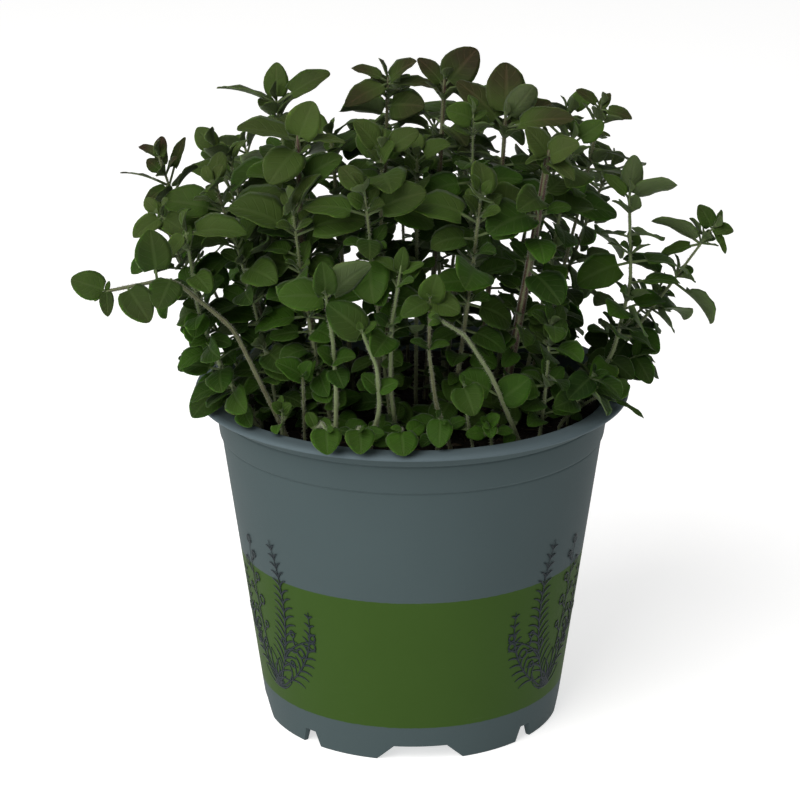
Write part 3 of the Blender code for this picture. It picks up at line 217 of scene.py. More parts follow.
# Leaves that the eye picks out, by shoot, as the front view shows them from VIEW_RISE above level: how far
# below the shoot's tip the leaf joins the stem; from there to the leaf's own tip, how far right, how far up
# and how far towards the viewer, all in millimetres; how far its upper face turns from the viewer to the
# sky, in degrees; and the blade's width and the petiole's length as shares of the blade's length
SET_LEAVES = {
    "crown_dark": ((3, 9.6, 11, 2, 10, 0.88, 0.2), (3, -7.8, 8.5, 0, 40, 0.6, 0.2)),
    "crown_purple": (
        (2, 8.5, 5.8, 4, 60, 0.9, 0.15), (2, -11, 4.2, -1, 60, 0.5, 0.25),
        (2.5, -12.5, -7, 5, 50, 0.6, 0.15), (2.5, 15.5, -2, 2, 65, 0.5, 0.3), (9, 11, -1, 7, 20, 0.95, 0.15),
    ),
    "crown_right": (
        (2, 0.4, 17.8, -4, 0, 0.75, 0.2), (2, 5.5, 12.8, 4, 170, 0.7, 0.2), (4, 14, 8, -6, 60, 0.65, 0.2),
        (4, 21, 2.5, 4, 45, 0.5, 0.3), (4, -14, 14, -2, 50, 0.6, 0.25),
    ),
    "crown_small": ((2.5, -7.8, 2.6, 3, 20, 0.95, 0.1), (2.5, 4.2, 2.6, 0, 50, 0.6, 0.1)),
    "top_left": (
        (2, 0, 12.2, 0, 0, 0.7, 0.2), (2, 16, 8.6, 2, 30, 0.6, 0.45), (2, -17.6, 4.4, 0, 100, 0.6, 0.3),
        (6, 2, -2, 7, 60, 0.8, 0.15),
    ),
    "front_left": (
        (2, 4.5, 10.8, 4, 25, 0.95, 0.15), (2, -17, 2.9, 5, 70, 0.7, 0.2), (2, 13, 2.2, 3, 80, 0.5, 0.25),
        (4, -8, -10.5, 7, 40, 0.85, 0.15), (14.5, -14.8, 2.4, 4, 60, 0.85, 0.15),
        (14.5, 12.5, 7.5, 3, 30, 0.7, 0.2),
    ),
    "purple_left": (
        (1.5, 0.9, 6.3, 0, 20, 0.75, 0.1), (1.5, -6.2, 3.5, -2, 60, 0.6, 0.2),
        (10, 4.8, 14.2, -2, 60, 0.4, 0.6), (10, -14.3, 3.4, 2, 100, 0.5, 0.35),
        (10, -7, -5.2, 3, 40, 0.5, 0.15), (15, -7.5, -3.5, 4, 60, 0.5, 0.15),
    ),
    "heart_left": (
        (1.5, -8.1, -5.9, 3, 30, 0.7, 0.15), (1.5, 7.3, -4.8, 3, 10, 0.85, 0.15),
        (1, -1, 4, 1, 40, 0.5, 0.1),
    ),
    "pale_left": (
        (1.5, 17.5, -0.5, 3, 60, 0.7, 0.2), (1.5, -5, -6.5, -3, 40, 0.7, 0.15),
        (26, -1.1, -6.8, 3, 5, 1, 0.05),
    ),
    "bright_left": ((2, -6, 6.7, 0, 10, 0.85, 0.15),),
    "purple_right": (
        (2, -7.3, 5.8, 0, 50, 0.55, 0.3), (2, 2.9, 5, 0, 30, 0.6, 0.1), (2, 9.3, -3, 1, 40, 0.6, 0.3),
        (9, 4.4, -1, 1, 60, 0.5, 0.15),
    ),
    "front_right": (
        (2, -6.4, 7.8, 4, 40, 0.85, 0.1), (2, 7, 7, 4, 40, 0.85, 0.1), (2, -6.5, -1.5, 4, 70, 0.5, 0.1),
        (2, 9.5, 1.5, 0, 100, 0.5, 0.15), (3, 7.3, -6.2, 5, 60, 0.6, 0.15),
    ),
    "light_right": (
        (2, 13.8, 3.8, 4, 130, 0.6, 0.15), (2, 1.5, 12.5, 3, 165, 0.6, 0.15),
        (2, 9.9, 15.2, -3, 40, 0.4, 0.35), (2, 12, 10, -2, 20, 0.6, 0.25), (2, -6, 8.4, 0, 50, 0.5, 0.2),
    ),
    "far_right": (
        (1.2, -3.8, 7.3, 0, 20, 0.75, 0.1), (1.2, 6.4, -0.7, 1, 30, 0.75, 0.1),
        (1.2, 4, -7.5, 1, 80, 0.4, 0.15), (7, -15, 6.8, 3, 125, 0.55, 0.15),
        (7, -12.5, -4.4, -3, 60, 0.5, 0.3),
    ),
    "low_right": (
        (0.8, 6.2, 1.2, 3, 80, 0.7, 0.05), (0.8, 4.3, -8.2, 3.5, 40, 0.7, 0.05),
        (0.8, 7.7, -1.5, -2.5, 60, 0.6, 0.05), (0.8, 1.2, 5.8, 0, 50, 0.5, 0.05),
    ),
    "rim_right": ((0.8, 12.4, -7.2, 3, 95, 0.35, 0.5),),
    "low_right_dark": ((0.8, -7, -6.5, 3, 20, 0.95, 0.1), (0.8, 5, 1, 2, 60, 0.7, 0.1)),
    "arching_left": (
        (0.8, -10, 3.4, 1, 10, 0.85, 0.1), (0.8, 0.5, -7.2, 1.5, 30, 0.6, 0.05),
        (0.8, 0.8, 3, 0, 0, 0.5, 0.05), (7.5, 6.5, -10, 3, 10, 0.85, 0.1), (16, -1.9, 14.5, 2, 15, 0.9, 0.3),
        (20, -3.5, -8.8, 5, 25, 0.95, 0.1),
    ),
    "hairy_left": ((1, 7, -2, 3, 50, 0.75, 0.1), (1, -4.5, -2.5, 2, 50, 0.8, 0.1)),
    "rim_left": ((0.8, -8.6, -9.3, 4, 40, 0.75, 0.05),),
    "rim_left_back": ((0.8, -4.6, -2.8, 1, 20, 0.95, 0.1),),
    "centre_left": (
        (1.8, -13.3, 0.3, 3, 40, 0.85, 0.1), (1.8, -1, 10, 3, 30, 0.8, 0.15),
        (1.8, 12.5, 9.5, 1, 140, 0.8, 0.2), (22, -4.6, 3.4, 4, 40, 0.9, 0.1),
        (22, 6.1, 1.1, 5, 35, 0.9, 0.1), (24.5, 2.5, -5.5, 4, 30, 1, 0.1),
    ),
    "centre_bow": (
        (1, -8.8, 9.4, 2, 20, 0.8, 0.05), (1, 4, 3.5, 0, 50, 0.6, 0.1), (20, -4.7, 4.7, 2, 35, 0.85, 0.05),
        (20, 5.6, 2.6, 2, 35, 0.8, 0.05),
    ),
    "centre_pale": (
        (2.5, -7.2, 4.2, 2, 60, 0.65, 0.15), (2.5, 6.8, 3, 1, 60, 0.65, 0.15),
        (2.5, 1.1, 7.5, 2, 20, 0.6, 0.1),
    ),
    "centre_red": (
        (2, 1.9, 7.5, 3.5, 25, 0.95, 0.05), (2, -8, -4.2, 3.5, 45, 0.8, 0.1),
        (2, 7.2, -4.6, 3.5, 40, 0.95, 0.05), (17, -5.3, 2.2, 3, 65, 0.75, 0.1),
        (17, 5.9, 1.1, 3, 65, 0.75, 0.1),
    ),
    "centre_arch": (
        (0.6, -3.6, -1.5, 1, 50, 0.7, 0.05), (36, -12, 6, 2, 20, 0.95, 0.4), (37, 8, 6, 2, 10, 0.95, 0.05),
    ),
    "front_heart": ((1, 2.8, -8, 4, 15, 1.1, 0.05),),
    "rim_front_left": ((1, 0.6, -7.2, 4.5, 30, 1.1, 0.05),),
    "rim_front_mid": ((1, 0.3, -6.8, 4.5, 30, 1.1, 0.05),),
    "rim_front": ((0.8, 0.6, -6.8, 5, 30, 1.1, 0.05), (0.8, -3, 1, 2, 50, 0.8, 0.05)),
    "rim_bent": ((0.8, -0.5, -8.2, 3.5, 40, 0.85, 0.05),),
    "rim_front_right": (
        (0.8, 3.2, 2.4, 2.5, 20, 0.95, 0.05), (0.8, 0.6, -4.2, 3, 30, 0.9, 0.05),
        (0.8, -2.5, 1.5, 2, 30, 0.9, 0.05),
    ),
    "rim_small_left": ((0.8, -2.9, 2.4, 2, 30, 0.9, 0.05), (0.8, 2.6, 2.6, 2, 30, 0.9, 0.05)),
    "left_pair": ((1, -7.6, 4.2, 3, 35, 0.85, 0.05), (1, 2.6, 4.4, 3, 35, 0.85, 0.05)),
}
VIEW_RISE = math.radians(19.0)
SET_CURL = math.radians(28.0)
SMALL_LEAF = 0.0075
LONG_STALK = 0.28
# Below the lowest listed leaf, the rule's own pairs begin this much further down
SET_GAP = 0.0090
# How far a listed leaf may turn within its face and out of it, in degrees, to find a free place
SET_TURNS = (
    (0, 0), (7, 0), (-7, 0), (0, 7), (0, -7), (7, 7), (-7, 7), (7, -7), (-7, -7), (14, 0), (-14, 0), (0, 14),
    (0, -14), (14, 14), (-14, 14), (14, -14), (-14, -14), (24, 0), (-24, 0), (0, 24), (24, 24), (-24, 24),
)
SET_SIZES = (1.0, 0.92, 0.84, 0.74, 0.6)
MILLIMETRE = 0.001


def unit(vector):
    return vector / np.linalg.norm(vector)


def wall_radius(height):
    """Outer radius of the tapered wall at a height."""
    return FOOT_RADIUS + (WALL_TOP_RADIUS - FOOT_RADIUS) * height / WALL_TOP_HEIGHT


def turned(axis, angle, vector):
    """Vector turned about a unit axis by the right-hand rule."""
    along = axis * (axis @ vector)
    across = vector - along
    return along + across * math.cos(angle) + np.cross(axis, across) * math.sin(angle)


def tilted(tangent, vector):
    """A vector of the level plane, carried by the shortest turn that brings +Z onto the tangent."""
    up = np.array([0.0, 0.0, 1.0])
    axis = np.cross(up, tangent)
    size = np.linalg.norm(axis)
    if size < 1e-9:
        return vector
    return turned(axis / size, math.atan2(size, float(up @ tangent)), vector)


def level_direction(azimuth):
    return np.array([math.cos(azimuth), math.sin(azimuth), 0.0])


def square(azimuth, half):
    """Corners of a level square, counter-clockwise, with its sides facing azimuth and its quarter turns."""
    return [math.sqrt(2) * half * level_direction(azimuth + math.pi * (0.25 + 0.5 * k)) for k in range(4)]


def curve_point(shoot, t):
    """Point at share t of the shoot's quadratic curve, from the compost to the tip."""
    a, b, c = shoot["root"], shoot["knee"], shoot["tip"]
    return (1 - t) ** 2 * a + 2 * t * (1 - t) * b + t**2 * c


def curve_tangent(shoot, t):
    a, b, c = shoot["root"], shoot["knee"], shoot["tip"]
    return unit(2 * (1 - t) * (b - a) + 2 * t * (c - b))


def new_shoot(name, root, knee, tip, azimuth, leaf_size, thickness, pairs):
    """The facts of one shoot. Its root is where it leaves the collar above the compost."""
    shoot = {
        "name": name,
        "root": np.array([root[0], root[1], SOIL_RIM + COLLAR]),
        "knee": np.array(knee, float),
        "tip": np.array(tip, float),
        "azimuth": azimuth,
        "leaf_size": leaf_size,
        "pairs": pairs,
        "foot": STEM_FOOT * thickness,
        "top": STEM_TIP * thickness,
    }
    line = np.array([curve_point(shoot, t) for t in np.linspace(0, 1, 33)])
    shoot["steps"] = np.concatenate([[0], np.cumsum(np.linalg.norm(np.diff(line, axis=0), axis=1))])
    shoot["line"] = line
    return shoot


def share_below_tip(shoot, distance):
    """The curve's share t at an arc length below the tip."""
    steps = shoot["steps"]
    return float(np.interp(steps[-1] - distance, steps, np.linspace(0, 1, len(steps))))


def named_shoots():
    shoots = []
    for name, root, knee, tip, turn, leaf_size, thickness, pairs in NAMED_SHOOTS:
        root, knee, tip = (np.array(p, float) * MILLIMETRE for p in (root, knee, tip))
        shoots.append(new_shoot(name, root, knee, tip, math.radians(turn), leaf_size, thickness, pairs))
    return shoots


def stems_clear(shoot, others):
    """True where the shoot's line keeps its spacing from every other line."""
    for other in others:
        apart = np.linalg.norm(shoot["line"][:, None] - other["line"][None], axis=2)
        if apart.min() < STEM_SPACING:
            return False
        if np.linalg.norm(shoot["root"] - other["root"]) < ROOT_SPACING:
            return False
    return True


def add_ruled_shoots(shoots, draw):
    """Fills the gaps on a sunflower spiral. Shoots lean outwards, and their tips lie under a low dome."""
    golden = math.pi * (3 - math.sqrt(5))
    made = 0
    for k in range(SPIRAL_PLACES):
        if made == RULED_SHOOTS:
            break
        for _ in range(TRIES):
            spiral = ROOT_SPREAD * math.sqrt((k + 0.5) / SPIRAL_PLACES)
            reach = spiral + draw.uniform(-ROOT_WANDER, ROOT_WANDER)
            turn = k * golden + draw.uniform(-TURN_WANDER, TURN_WANDER)
            lean = draw.uniform(*TIP_LEAN)
            swing = turn + draw.uniform(-TIP_SWING, TIP_SWING)
            tip_reach = reach * lean + TIP_OUT
            dome = CROWN_HEIGHT - CROWN_FALL * (tip_reach / CROWN_RADIUS) ** 2
            tip_height = dome - draw.uniform(0.0, TIP_DROP)
            root = reach * level_direction(turn)
            tip = tip_reach * level_direction(swing) + np.array([0, 0, tip_height])
            bend = draw.uniform(*KNEE_SHARE)
            knee = root * (1 - bend) + tip * bend
            knee[2] = SOIL_RIM + (tip_height - SOIL_RIM) * draw.uniform(*KNEE_LIFT)
            azimuth = draw.uniform(0, math.pi)
            leaf_size = draw.uniform(*RULED_SIZE)
            thickness = draw.uniform(*RULED_THICKNESS)
            pairs = 4 if reach < INNER_REACH else 5
            shoot = new_shoot(f"ruled_{made}", root, knee, tip, azimuth, leaf_size, thickness, pairs)
            if stems_clear(shoot, shoots):
                shoots.append(shoot)
                made += 1
                break


def stem_rings(shoot, grow=0.0):
    """Square rings from the buried foot to the tip, each a list of four corners."""
    root = shoot["root"]
    rings = []
    foot = root.copy()
    foot[2] = SOIL_RIM - PLANTING_DEPTH
    for centre in (foot, root):
        rings.append([centre + c for c in square(shoot["azimuth"], shoot["foot"] + grow)])
    for k in range(1, STEM_RINGS):
        t = k / (STEM_RINGS - 1)
        half = shoot["foot"] + (shoot["top"] - shoot["foot"]) * t + grow
        centre, tangent = curve_point(shoot, t), curve_tangent(shoot, t)
        rings.append([centre + tilted(tangent, c) for c in square(shoot["azimuth"], half)])
    return rings


def tube_faces(rings, count, foot_pole=None, tip_pole=None):
    """Quads between rings of count points. Each end is a cap, or a fan about the point of a given number."""
    ends = np.arange(count)
    after = (ends + 1) % count
    start = count * np.arange(rings - 1)[:, None]
    quads = np.stack([start + ends, start + after, start + count + after, start + count + ends], axis=-1)
    faces = quads.reshape(-1, 4).tolist()
    last = count * (rings - 1)
    if foot_pole is None:
        faces.append(ends[::-1].tolist())
    else:
        faces += np.stack([after, ends, np.full(count, foot_pole)], axis=-1).tolist()
    if tip_pole is None:
        faces.append((last + ends).tolist())
    else:
        faces += np.stack([last + ends, last + after, np.full(count, tip_pole)], axis=-1).tolist()
    return faces


def axis_at(shoot, t):
    """Point and direction of the stem's middle at share t, on the straight piece between two of its rings."""
    piece = min(int(t * (STEM_RINGS - 1)), STEM_RINGS - 2)
    low, high = (curve_point(shoot, (piece + k) / (STEM_RINGS - 1)) for k in (0, 1))
    return low + (high - low) * (t * (STEM_RINGS - 1) - piece), unit(high - low)


def leaf_frame(shoot, t, azimuth, rise, roll):
    """Where a leaf leaves the stem, its direction, side and normal, which leans to the sky and outwards."""
    centre, tangent = axis_at(shoot, t)
    out = tilted(tangent, level_direction(azimuth))
    along = unit(out * math.cos(rise) + tangent * math.sin(rise))
    outward = np.array([centre[0], centre[1], 0.0]) / CROWN_RADIUS
    facing = ALONG_STEM * tangent + TO_SKY * np.array([0.0, 0.0, 1.0]) + OUTWARDS * outward
    normal = facing - along * (facing @ along)
    if np.linalg.norm(normal) < LEAST_FACING:
        normal = normal + tangent - along * (tangent @ along)
    normal = turned(along, roll, unit(normal))
    return centre, along, np.cross(normal, along), normal


def blade_half_width(u):
    """Half-width of an ovate blade: 1 at about 0.38 of its length, and round at both ends."""
    return (1 - (2 * u**0.72 - 1) ** 2) ** 0.54


def leaf_point(leaf, distance):
    """A point of the leaf's spine, with the normal there: a straight petiole, then an arc that droops."""
    centre, along, side, normal = leaf["frame"]
    petiole, length, curl = leaf["petiole"], leaf["length"], leaf["curl"]
    if distance <= petiole:
        return centre + along * distance, normal
    bent = curl * (distance - petiole) / length
    radius = length / curl
    spine = centre + along * (petiole + radius * math.sin(bent)) - normal * radius * (1 - math.cos(bent))
    return spine, normal * math.cos(bent) + along * math.sin(bent)


def leaf_rings(leaf, start, grow):
    """Rings of four points (left, top, right, bottom) from a distance off the stem's middle, then the tip."""
    petiole, length, width = leaf["petiole"], leaf["length"], leaf["width"]
    stations = [(start, PETIOLE_HALF, 0.0)]
    shares, stalked = leaf["kind"]
    if stalked:
        stations.append((petiole, PETIOLE_HALF * 1.15, 0.0))
    for u in shares:
        stations.append((petiole + u * length, 0.5 * width * blade_half_width(u), FOLD))
    rings = []
    side = leaf["frame"][2]
    for distance, half, fold in stations:
        spine, normal = leaf_point(leaf, distance)
        reach = half + grow
        edge = side * reach * math.cos(fold)
        lift = normal * reach * math.sin(fold)
        thick = normal * (0.5 * BLADE_THICKNESS + grow)
        rings.append([spine - edge + lift, spine + thick, spine + edge + lift, spine - thick])
    tip, _ = leaf_point(leaf, petiole + length + grow)
    return rings, tip


def leaf_mesh(leaf, start=0.0, grow=0.0):
    """Points and triangles of one closed blade. Top and bottom are split alike, so the faces can't cross."""
    rings, tip = leaf_rings(leaf, start, grow)
    points = [p for ring in rings for p in ring] + [tip]
    faces = [(0, 1, 2, 3)]
    stalk = 1 if leaf["kind"][1] else 0
    for i in range(4 * stalk):
        after = (i + 1) % 4
        faces.append((i, i + 4, after + 4, after))
    for k in range(stalk, len(rings) - 1):
        left, top, right, bottom = range(4 * k, 4 * k + 4)
        left2, top2, right2, bottom2 = range(4 * k + 4, 4 * k + 8)
        faces += [(left, top2, top), (left, left2, top2), (left, bottom, bottom2), (left, bottom2, left2)]
        faces += [(right, top, top2), (right, top2, right2)]
        faces += [(right, bottom2, bottom), (right, right2, bottom2)]
    left, top, right, bottom = range(len(points) - 5, len(points) - 1)
    end = len(points) - 1
    faces += [(left, end, top), (top, end, right), (right, end, bottom), (bottom, end, left)]
    return points, faces


def tree_of(points, faces):
    return BVHTree.FromPolygons([tuple(map(float, p)) for p in points], faces, all_triangles=False)


def box_of(points):
    points = np.array(points)
    return points.min(axis=0), points.max(axis=0)


def boxes_meet(a, b):
    return bool((a[0] <= b[1]).all() and (b[0] <= a[1]).all())


def pot_obstacle():
    """The pot's flange, wall and compost as one turned sheet, for the leaves to stay clear of."""
    grow = LEAF_CLEARANCE
    profile = [
        (0.0, SOIL_RIM + SOIL_DOME + grow),
        (WALL_TOP_RADIUS - WALL - 0.001, SOIL_RIM + grow),
        (WALL_TOP_RADIUS - WALL - 0.001, POT_HEIGHT + grow),
        (RIM_RADIUS + grow, POT_HEIGHT + grow),
        (RIM_RADIUS + grow, POT_HEIGHT - RIM_EDGE - 0.001),
        (WALL_TOP_RADIUS + 0.002, WALL_TOP_HEIGHT),
        (FOOT_RADIUS, 0.0),
    ]
    points = []
    for radius, height in profile:
        level = [radius * level_direction(2 * math.pi * k / POT_SIDES) for k in range(POT_SIDES)]
        points += [point + np.array([0.0, 0.0, height]) for point in level]
    without_ends = tube_faces(len(profile), POT_SIDES)[:-2]
    return tree_of(points, without_ends), box_of(points)


def stem_obstacle(shoot):
    """The stem as a slightly fat tube, above the compost."""
    rings = stem_rings(shoot, STEM_CLEARANCE)[1:]
    points = [point for ring in rings for point in ring]
    return tree_of(points, tube_faces(len(rings), 4)), box_of(points)


def inside_limits(leaf):
    low, high = box_of(leaf_mesh(leaf)[0])
    reach = np.maximum(-low[:2], high[:2])
    return bool((reach < SPREAD_LIMIT).all() and high[2] < HEIGHT_LIMIT)


def free_place(leaf, start, obstacles):
    """True where the leaf, grown by its clearance and taken from a distance off its stem, meets nothing."""
    points, faces = leaf_mesh(leaf, start, LEAF_CLEARANCE)
    box = box_of(points)
    near = [tree for tree, other in obstacles if boxes_meet(box, other)]
    if not near:
        return True
    tree = tree_of(points, faces)
    return not any(tree.overlap(other) for other in near)


def ruled_leaf(shoot, t, azimuth, rise, length, habit, turn, lift, size):
    """A leaf by the plant's rule, turned sideways and up by so many degrees, at a share of its size."""
    frame = leaf_frame(shoot, t, azimuth + math.radians(turn), math.radians(rise + lift), habit["roll"])
    long = length * size
    return {
        "frame": frame,
        "petiole": habit["stalk"] * long + PETIOLE_LEAST,
        "length": long,
        "width": long * habit["aspect"],
        "curl": habit["curl"],
        "kind": habit["kind"],
    }


def set_leaf(shoot, facts, turn, lift, size):
    """A listed leaf, turned within its face and out of it by so many degrees, at a share of its size."""
    below, right, up, nearer, facing, aspect, stalk = facts
    centre, _ = axis_at(shoot, share_below_tip(shoot, below * MILLIMETRE))
    viewer = np.array([0.0, -math.cos(VIEW_RISE), math.sin(VIEW_RISE)])
    upright = np.array([0.0, math.sin(VIEW_RISE), math.cos(VIEW_RISE)])
    reach = (np.array([right, 0.0, 0.0]) + upright * up + viewer * nearer) * MILLIMETRE
    total = np.linalg.norm(reach) * size
    chord = unit(reach)
    face = viewer * math.cos(math.radians(facing)) + np.array([0.0, 0.0, math.sin(math.radians(facing))])
    normal = unit(face - chord * (face @ chord))
    chord = turned(normal, math.radians(turn), chord)
    bow = 0.4 * SET_CURL + math.radians(lift)
    along = chord * math.cos(bow) + normal * math.sin(bow)
    normal = normal * math.cos(bow) - chord * math.sin(bow)
    long = total / (1 + stalk)
    return {
        "frame": (centre, along, np.cross(normal, along), normal),
        "petiole": total - long,
        "length": long,
        "width": long * aspect,
        "curl": SET_CURL,
        "kind": (SMALL_SHARES if long < SMALL_LEAF else LARGE_SHARES, stalk > LONG_STALK),
    }


def first_free(make, place, turns, sizes, others):
    """The first leaf that is free of other shoots and of its own shoot's leaves, large ones tried first.

    Place holds what make needs before turn, lift and size, with the leaf's shoot as its first item.
    """
    own = place[0]["own"]
    for size in sizes:
        for turn, lift in turns:
            leaf = make(*place, turn, lift, size)
            if not inside_limits(leaf) or not free_place(leaf, 0.0, others):
                continue
            if free_place(leaf, OWN_STEM_REACH, own):
                return leaf
    return None


def keep_leaf(shoot, leaf):
    """Adds the leaf to its shoot, and its solid to what other leaves stay clear of."""
    shoot["leaves"].append(leaf)
    for start, group in ((0.0, shoot["solids"]), (OWN_STEM_REACH, shoot["own"])):
        points, faces = leaf_mesh(leaf, start)
        group.append((tree_of(points, faces), box_of(points)))


def grow_set_leaves(shoot, others):
    """The listed leaves, each as near to its place as the others leave room for."""
    for facts in SET_LEAVES.get(shoot["name"], ()):
        leaf = first_free(set_leaf, (shoot, facts), SET_TURNS, SET_SIZES, others)
        if leaf:
            keep_leaf(shoot, leaf)


def drawn_habit(draw, breadths, kind):
    """How one leaf droops, how broad it is, how long its stalk is and how it rolls."""
    return {
        "curl": math.radians(draw.uniform(*CURL)),
        "aspect": LEAF_ASPECT * draw.uniform(*breadths),
        "stalk": PETIOLE_SHARE * draw.uniform(*STALK_RANGE),
        "roll": math.radians(draw.uniform(-ROLL, ROLL)),
        "kind": kind,
    }


def grow_ruled_leaves(shoot, others, draw):
    """Opposite pairs, each pair a quarter turn from the next, below any listed leaves."""
    stem_length = shoot["steps"][-1]
    scale = min(1.0, LEAST_SCALE + stem_length / FULL_LENGTH)
    taken = max((facts[0] * MILLIMETRE + SET_GAP for facts in SET_LEAVES.get(shoot["name"], ())), default=0.0)
    for k, (below, length, rise) in enumerate(LEAF_PAIRS[: shoot["pairs"]]):
        below = below * (0.7 + 0.3 * scale) * draw.uniform(*PLACE_RANGE)
        spread = draw.uniform(*RISE_RANGE, 2)
        if below < taken or below > stem_length - FOOT_CLEAR:
            continue
        t = share_below_tip(shoot, below)
        for j in range(2):
            azimuth = shoot["azimuth"] + math.pi * (0.5 * k + j)
            long = length * shoot["leaf_size"] * scale * draw.uniform(*SIZE_RANGE)
            habit = drawn_habit(draw, BREADTH_RANGE, KINDS[k])
            place = (shoot, t, azimuth, rise + spread[j], long, habit)
            leaf = first_free(ruled_leaf, place, TURNS, SIZES, others)
            if leaf:
                keep_leaf(shoot, leaf)


def grow_leaves(shoots, draw):
    """Sets one leaf at a time among what stands already: first the listed ones, then the rule's pairs."""
    pot = pot_obstacle()
    for shoot in shoots:
        shoot["solids"] = [stem_obstacle(shoot)]
        shoot["own"] = []
        shoot["leaves"] = []
    for by_hand in (True, False):
        for shoot in shoots:
            others = [item for other in shoots if other is not shoot for item in other["solids"]] + [pot]
            if by_hand:
                grow_set_leaves(shoot, others)
            else:
                grow_ruled_leaves(shoot, others, draw)


def grow_plant():
    """Every shoot with its leaves, the same on each run."""
    draw = np.random.default_rng(SEED)
    shoots = named_shoots()
    add_ruled_shoots(shoots, draw)
    grow_leaves(shoots, draw)
    return shoots


# Finer shapes of the same shoots

FINE_SEED = 7
RING = 8
BLADE_SHARES = np.array([0.0, 0.045, 0.13, 0.26, 0.40, 0.55, 0.70, 0.83, 0.93, 0.98])
BUD_SHARES = np.array([0.05, 0.22, 0.45, 0.68, 0.90])
BUD_LENGTH = 0.0055
BLADE_HALF_THICKNESS = 0.00019
MIDRIB_DROP = 0.00022
MIDRIB_GROOVE = 0.00012
MARGIN_WAVE = 0.00032
MARGIN_WAVES = (1.6, 2.6)
WAVY_LENGTH = 0.014
LOBE = (0.03, 0.12)
LOBE_REACH = 0.14
BROADER = 1.06
POINTED = 0.24
FOLD_RANGE = (0.1, 1.9)
TWIST = math.radians(14.0)
STALK_START = 0.0003
STEM_STATIONS = 30
STEM_BURIED = 0.0020
STEM_SQUARENESS = 3.2
TIP_TAPER = 0.003
NODE_SWELL = 0.16
NODE_LENGTH = 0.0011
HAIRS_PER_METRE = 12000
HAIR_LENGTH = (0.00030, 0.00085)
HAIR_LEAN = (-0.35, 0.25)
HAIR_RADIUS = 0.000045
HAIRLESS_TIP = 0.0025
BUD_SIZES = (1.0, 0.72)
BUD_TURNS = TURNS[:13]
BUD_BREADTHS = (0.88, 1.10)

# By shoot, each 0 to 1: purple flush of its young leaves, lightness of its leaves, brown of its stem
SHOOT_TONES = {
    "crown_dark": (0.85, 0.3, 0.9), "crown_purple": (0.75, 0.25, 0.8), "crown_right": (0.8, 0.3, 0.9),
    "crown_small": (0.05, 0.65, 0.2), "top_left": (0.25, 0.45, 0.3), "purple_right": (0.65, 0.3, 0.7),
    "front_right": (0.22, 0.5, 1), "front_left": (0.15, 0.45, 0.9), "purple_left": (0.95, 0.3, 0.6),
    "heart_left": (0.1, 0.5, 0.3), "pale_left": (0, 0.55, 0.1), "bright_left": (0.05, 0.75, 0.2),
    "inner_left": (0, 0.4, 0.2), "light_right": (0.1, 0.8, 0.1), "far_right": (0.15, 0.6, 0.3),
    "low_right": (0.05, 0.6, 0.1), "rim_right": (0.05, 0.8, 0.2), "low_right_dark": (0, 0.1, 0.3),
    "arching_left": (0.1, 0.3, 0.7), "hairy_left": (0, 0.55, 0.1), "rim_left": (0, 0.45, 0.2),
    "rim_left_back": (0, 0.25, 0.2), "centre_left": (0, 0.6, 0.1), "centre_bow": (0, 0.6, 0.1),
    "centre_pale": (0, 0.55, 0.1), "centre_red": (0, 0.75, 0.7), "centre_arch": (0, 0.7, 0.2),
    "front_heart": (0, 0.75, 0.1), "rim_front_left": (0, 0.95, 0.1), "rim_front_mid": (0, 0.35, 0.1),
    "rim_front": (0, 0.75, 0.1), "rim_bent": (0, 0.6, 0.1), "rim_front_right": (0, 0.95, 0.1),
    "rim_small_left": (0, 0.9, 0.1), "left_pair": (0, 0.45, 0.5),
}
# How far the lightness of one leaf may lie from its shoot's
LIGHT_SPREAD = 0.35
# How far below its shoot's tip a leaf has lost its flush, and the heights where shoots begin to look young
FLUSH_REACH = 0.025
YOUNG_HEIGHTS = (0.130, 0.170)

# Small leaves over the right of the rim, in the terms of SET_LEAVES, and their lightness
RIM_LEAVES = {
    "low_right": (
        (4, 4, -8.5, 1, 20, 0.9, 0.12), (6, 7, -4, -2, 40, 0.9, 0.12), (9, -2.5, -7, 5, 30, 0.9, 0.15),
        (11, 6.5, -1, -4, 40, 0.9, 0.12),
    ),
    "low_right_back": (
        (12, 5, -9, 0, 20, 0.9, 0.15), (15, -5, -8, 3, 20, 0.9, 0.15), (19, 3, -8, 3, 20, 0.9, 0.15),
        (21, -8, 1, 2, 25, 0.9, 0.15), (24, -4, -5, 5, 25, 0.9, 0.2), (27, 6, 1, -5, 30, 0.9, 0.15),
    ),
    "far_right": (
        (40, 7, -8, 2, 20, 0.9, 0.15), (43, -6, -8, 4, 20, 0.9, 0.15), (47, 6, -8, 2, 20, 0.9, 0.15),
        (50, -8, -3, 4, 20, 0.9, 0.15),
    ),
    "light_right": (
        (52, 7, -6, 2, 25, 0.85, 0.15), (56, 4, -9, 4, 20, 0.85, 0.15), (59, -7, -6, 5, 20, 0.85, 0.15),
    ),
    "back_right": (
        (48, 9, -5, 4, 20, 0.9, 0.15), (54, 9, -3, 4, 20, 0.9, 0.15), (56, -8, -4, 5, 20, 0.9, 0.15),
        (60, 9, -1, 5, 20, 0.9, 0.15),
    ),
}
RIM_LIGHTNESS = 0.20

# Tip buds and axil leaves: distance below the tip or the pair, rise and turn in degrees, length
BUD_BELOW = 0.0009
BUD_RISE = 68.0
TIP_BUD_LENGTH = (0.0036, 0.0050)
LOW_BUD_LENGTH = (0.0022, 0.0032)
AXIL_BELOW = 0.0012
AXIL_TURN = (26, 50)
AXIL_RISE = (35, 60)
AXIL_LENGTH = (0.0042, 0.0070)
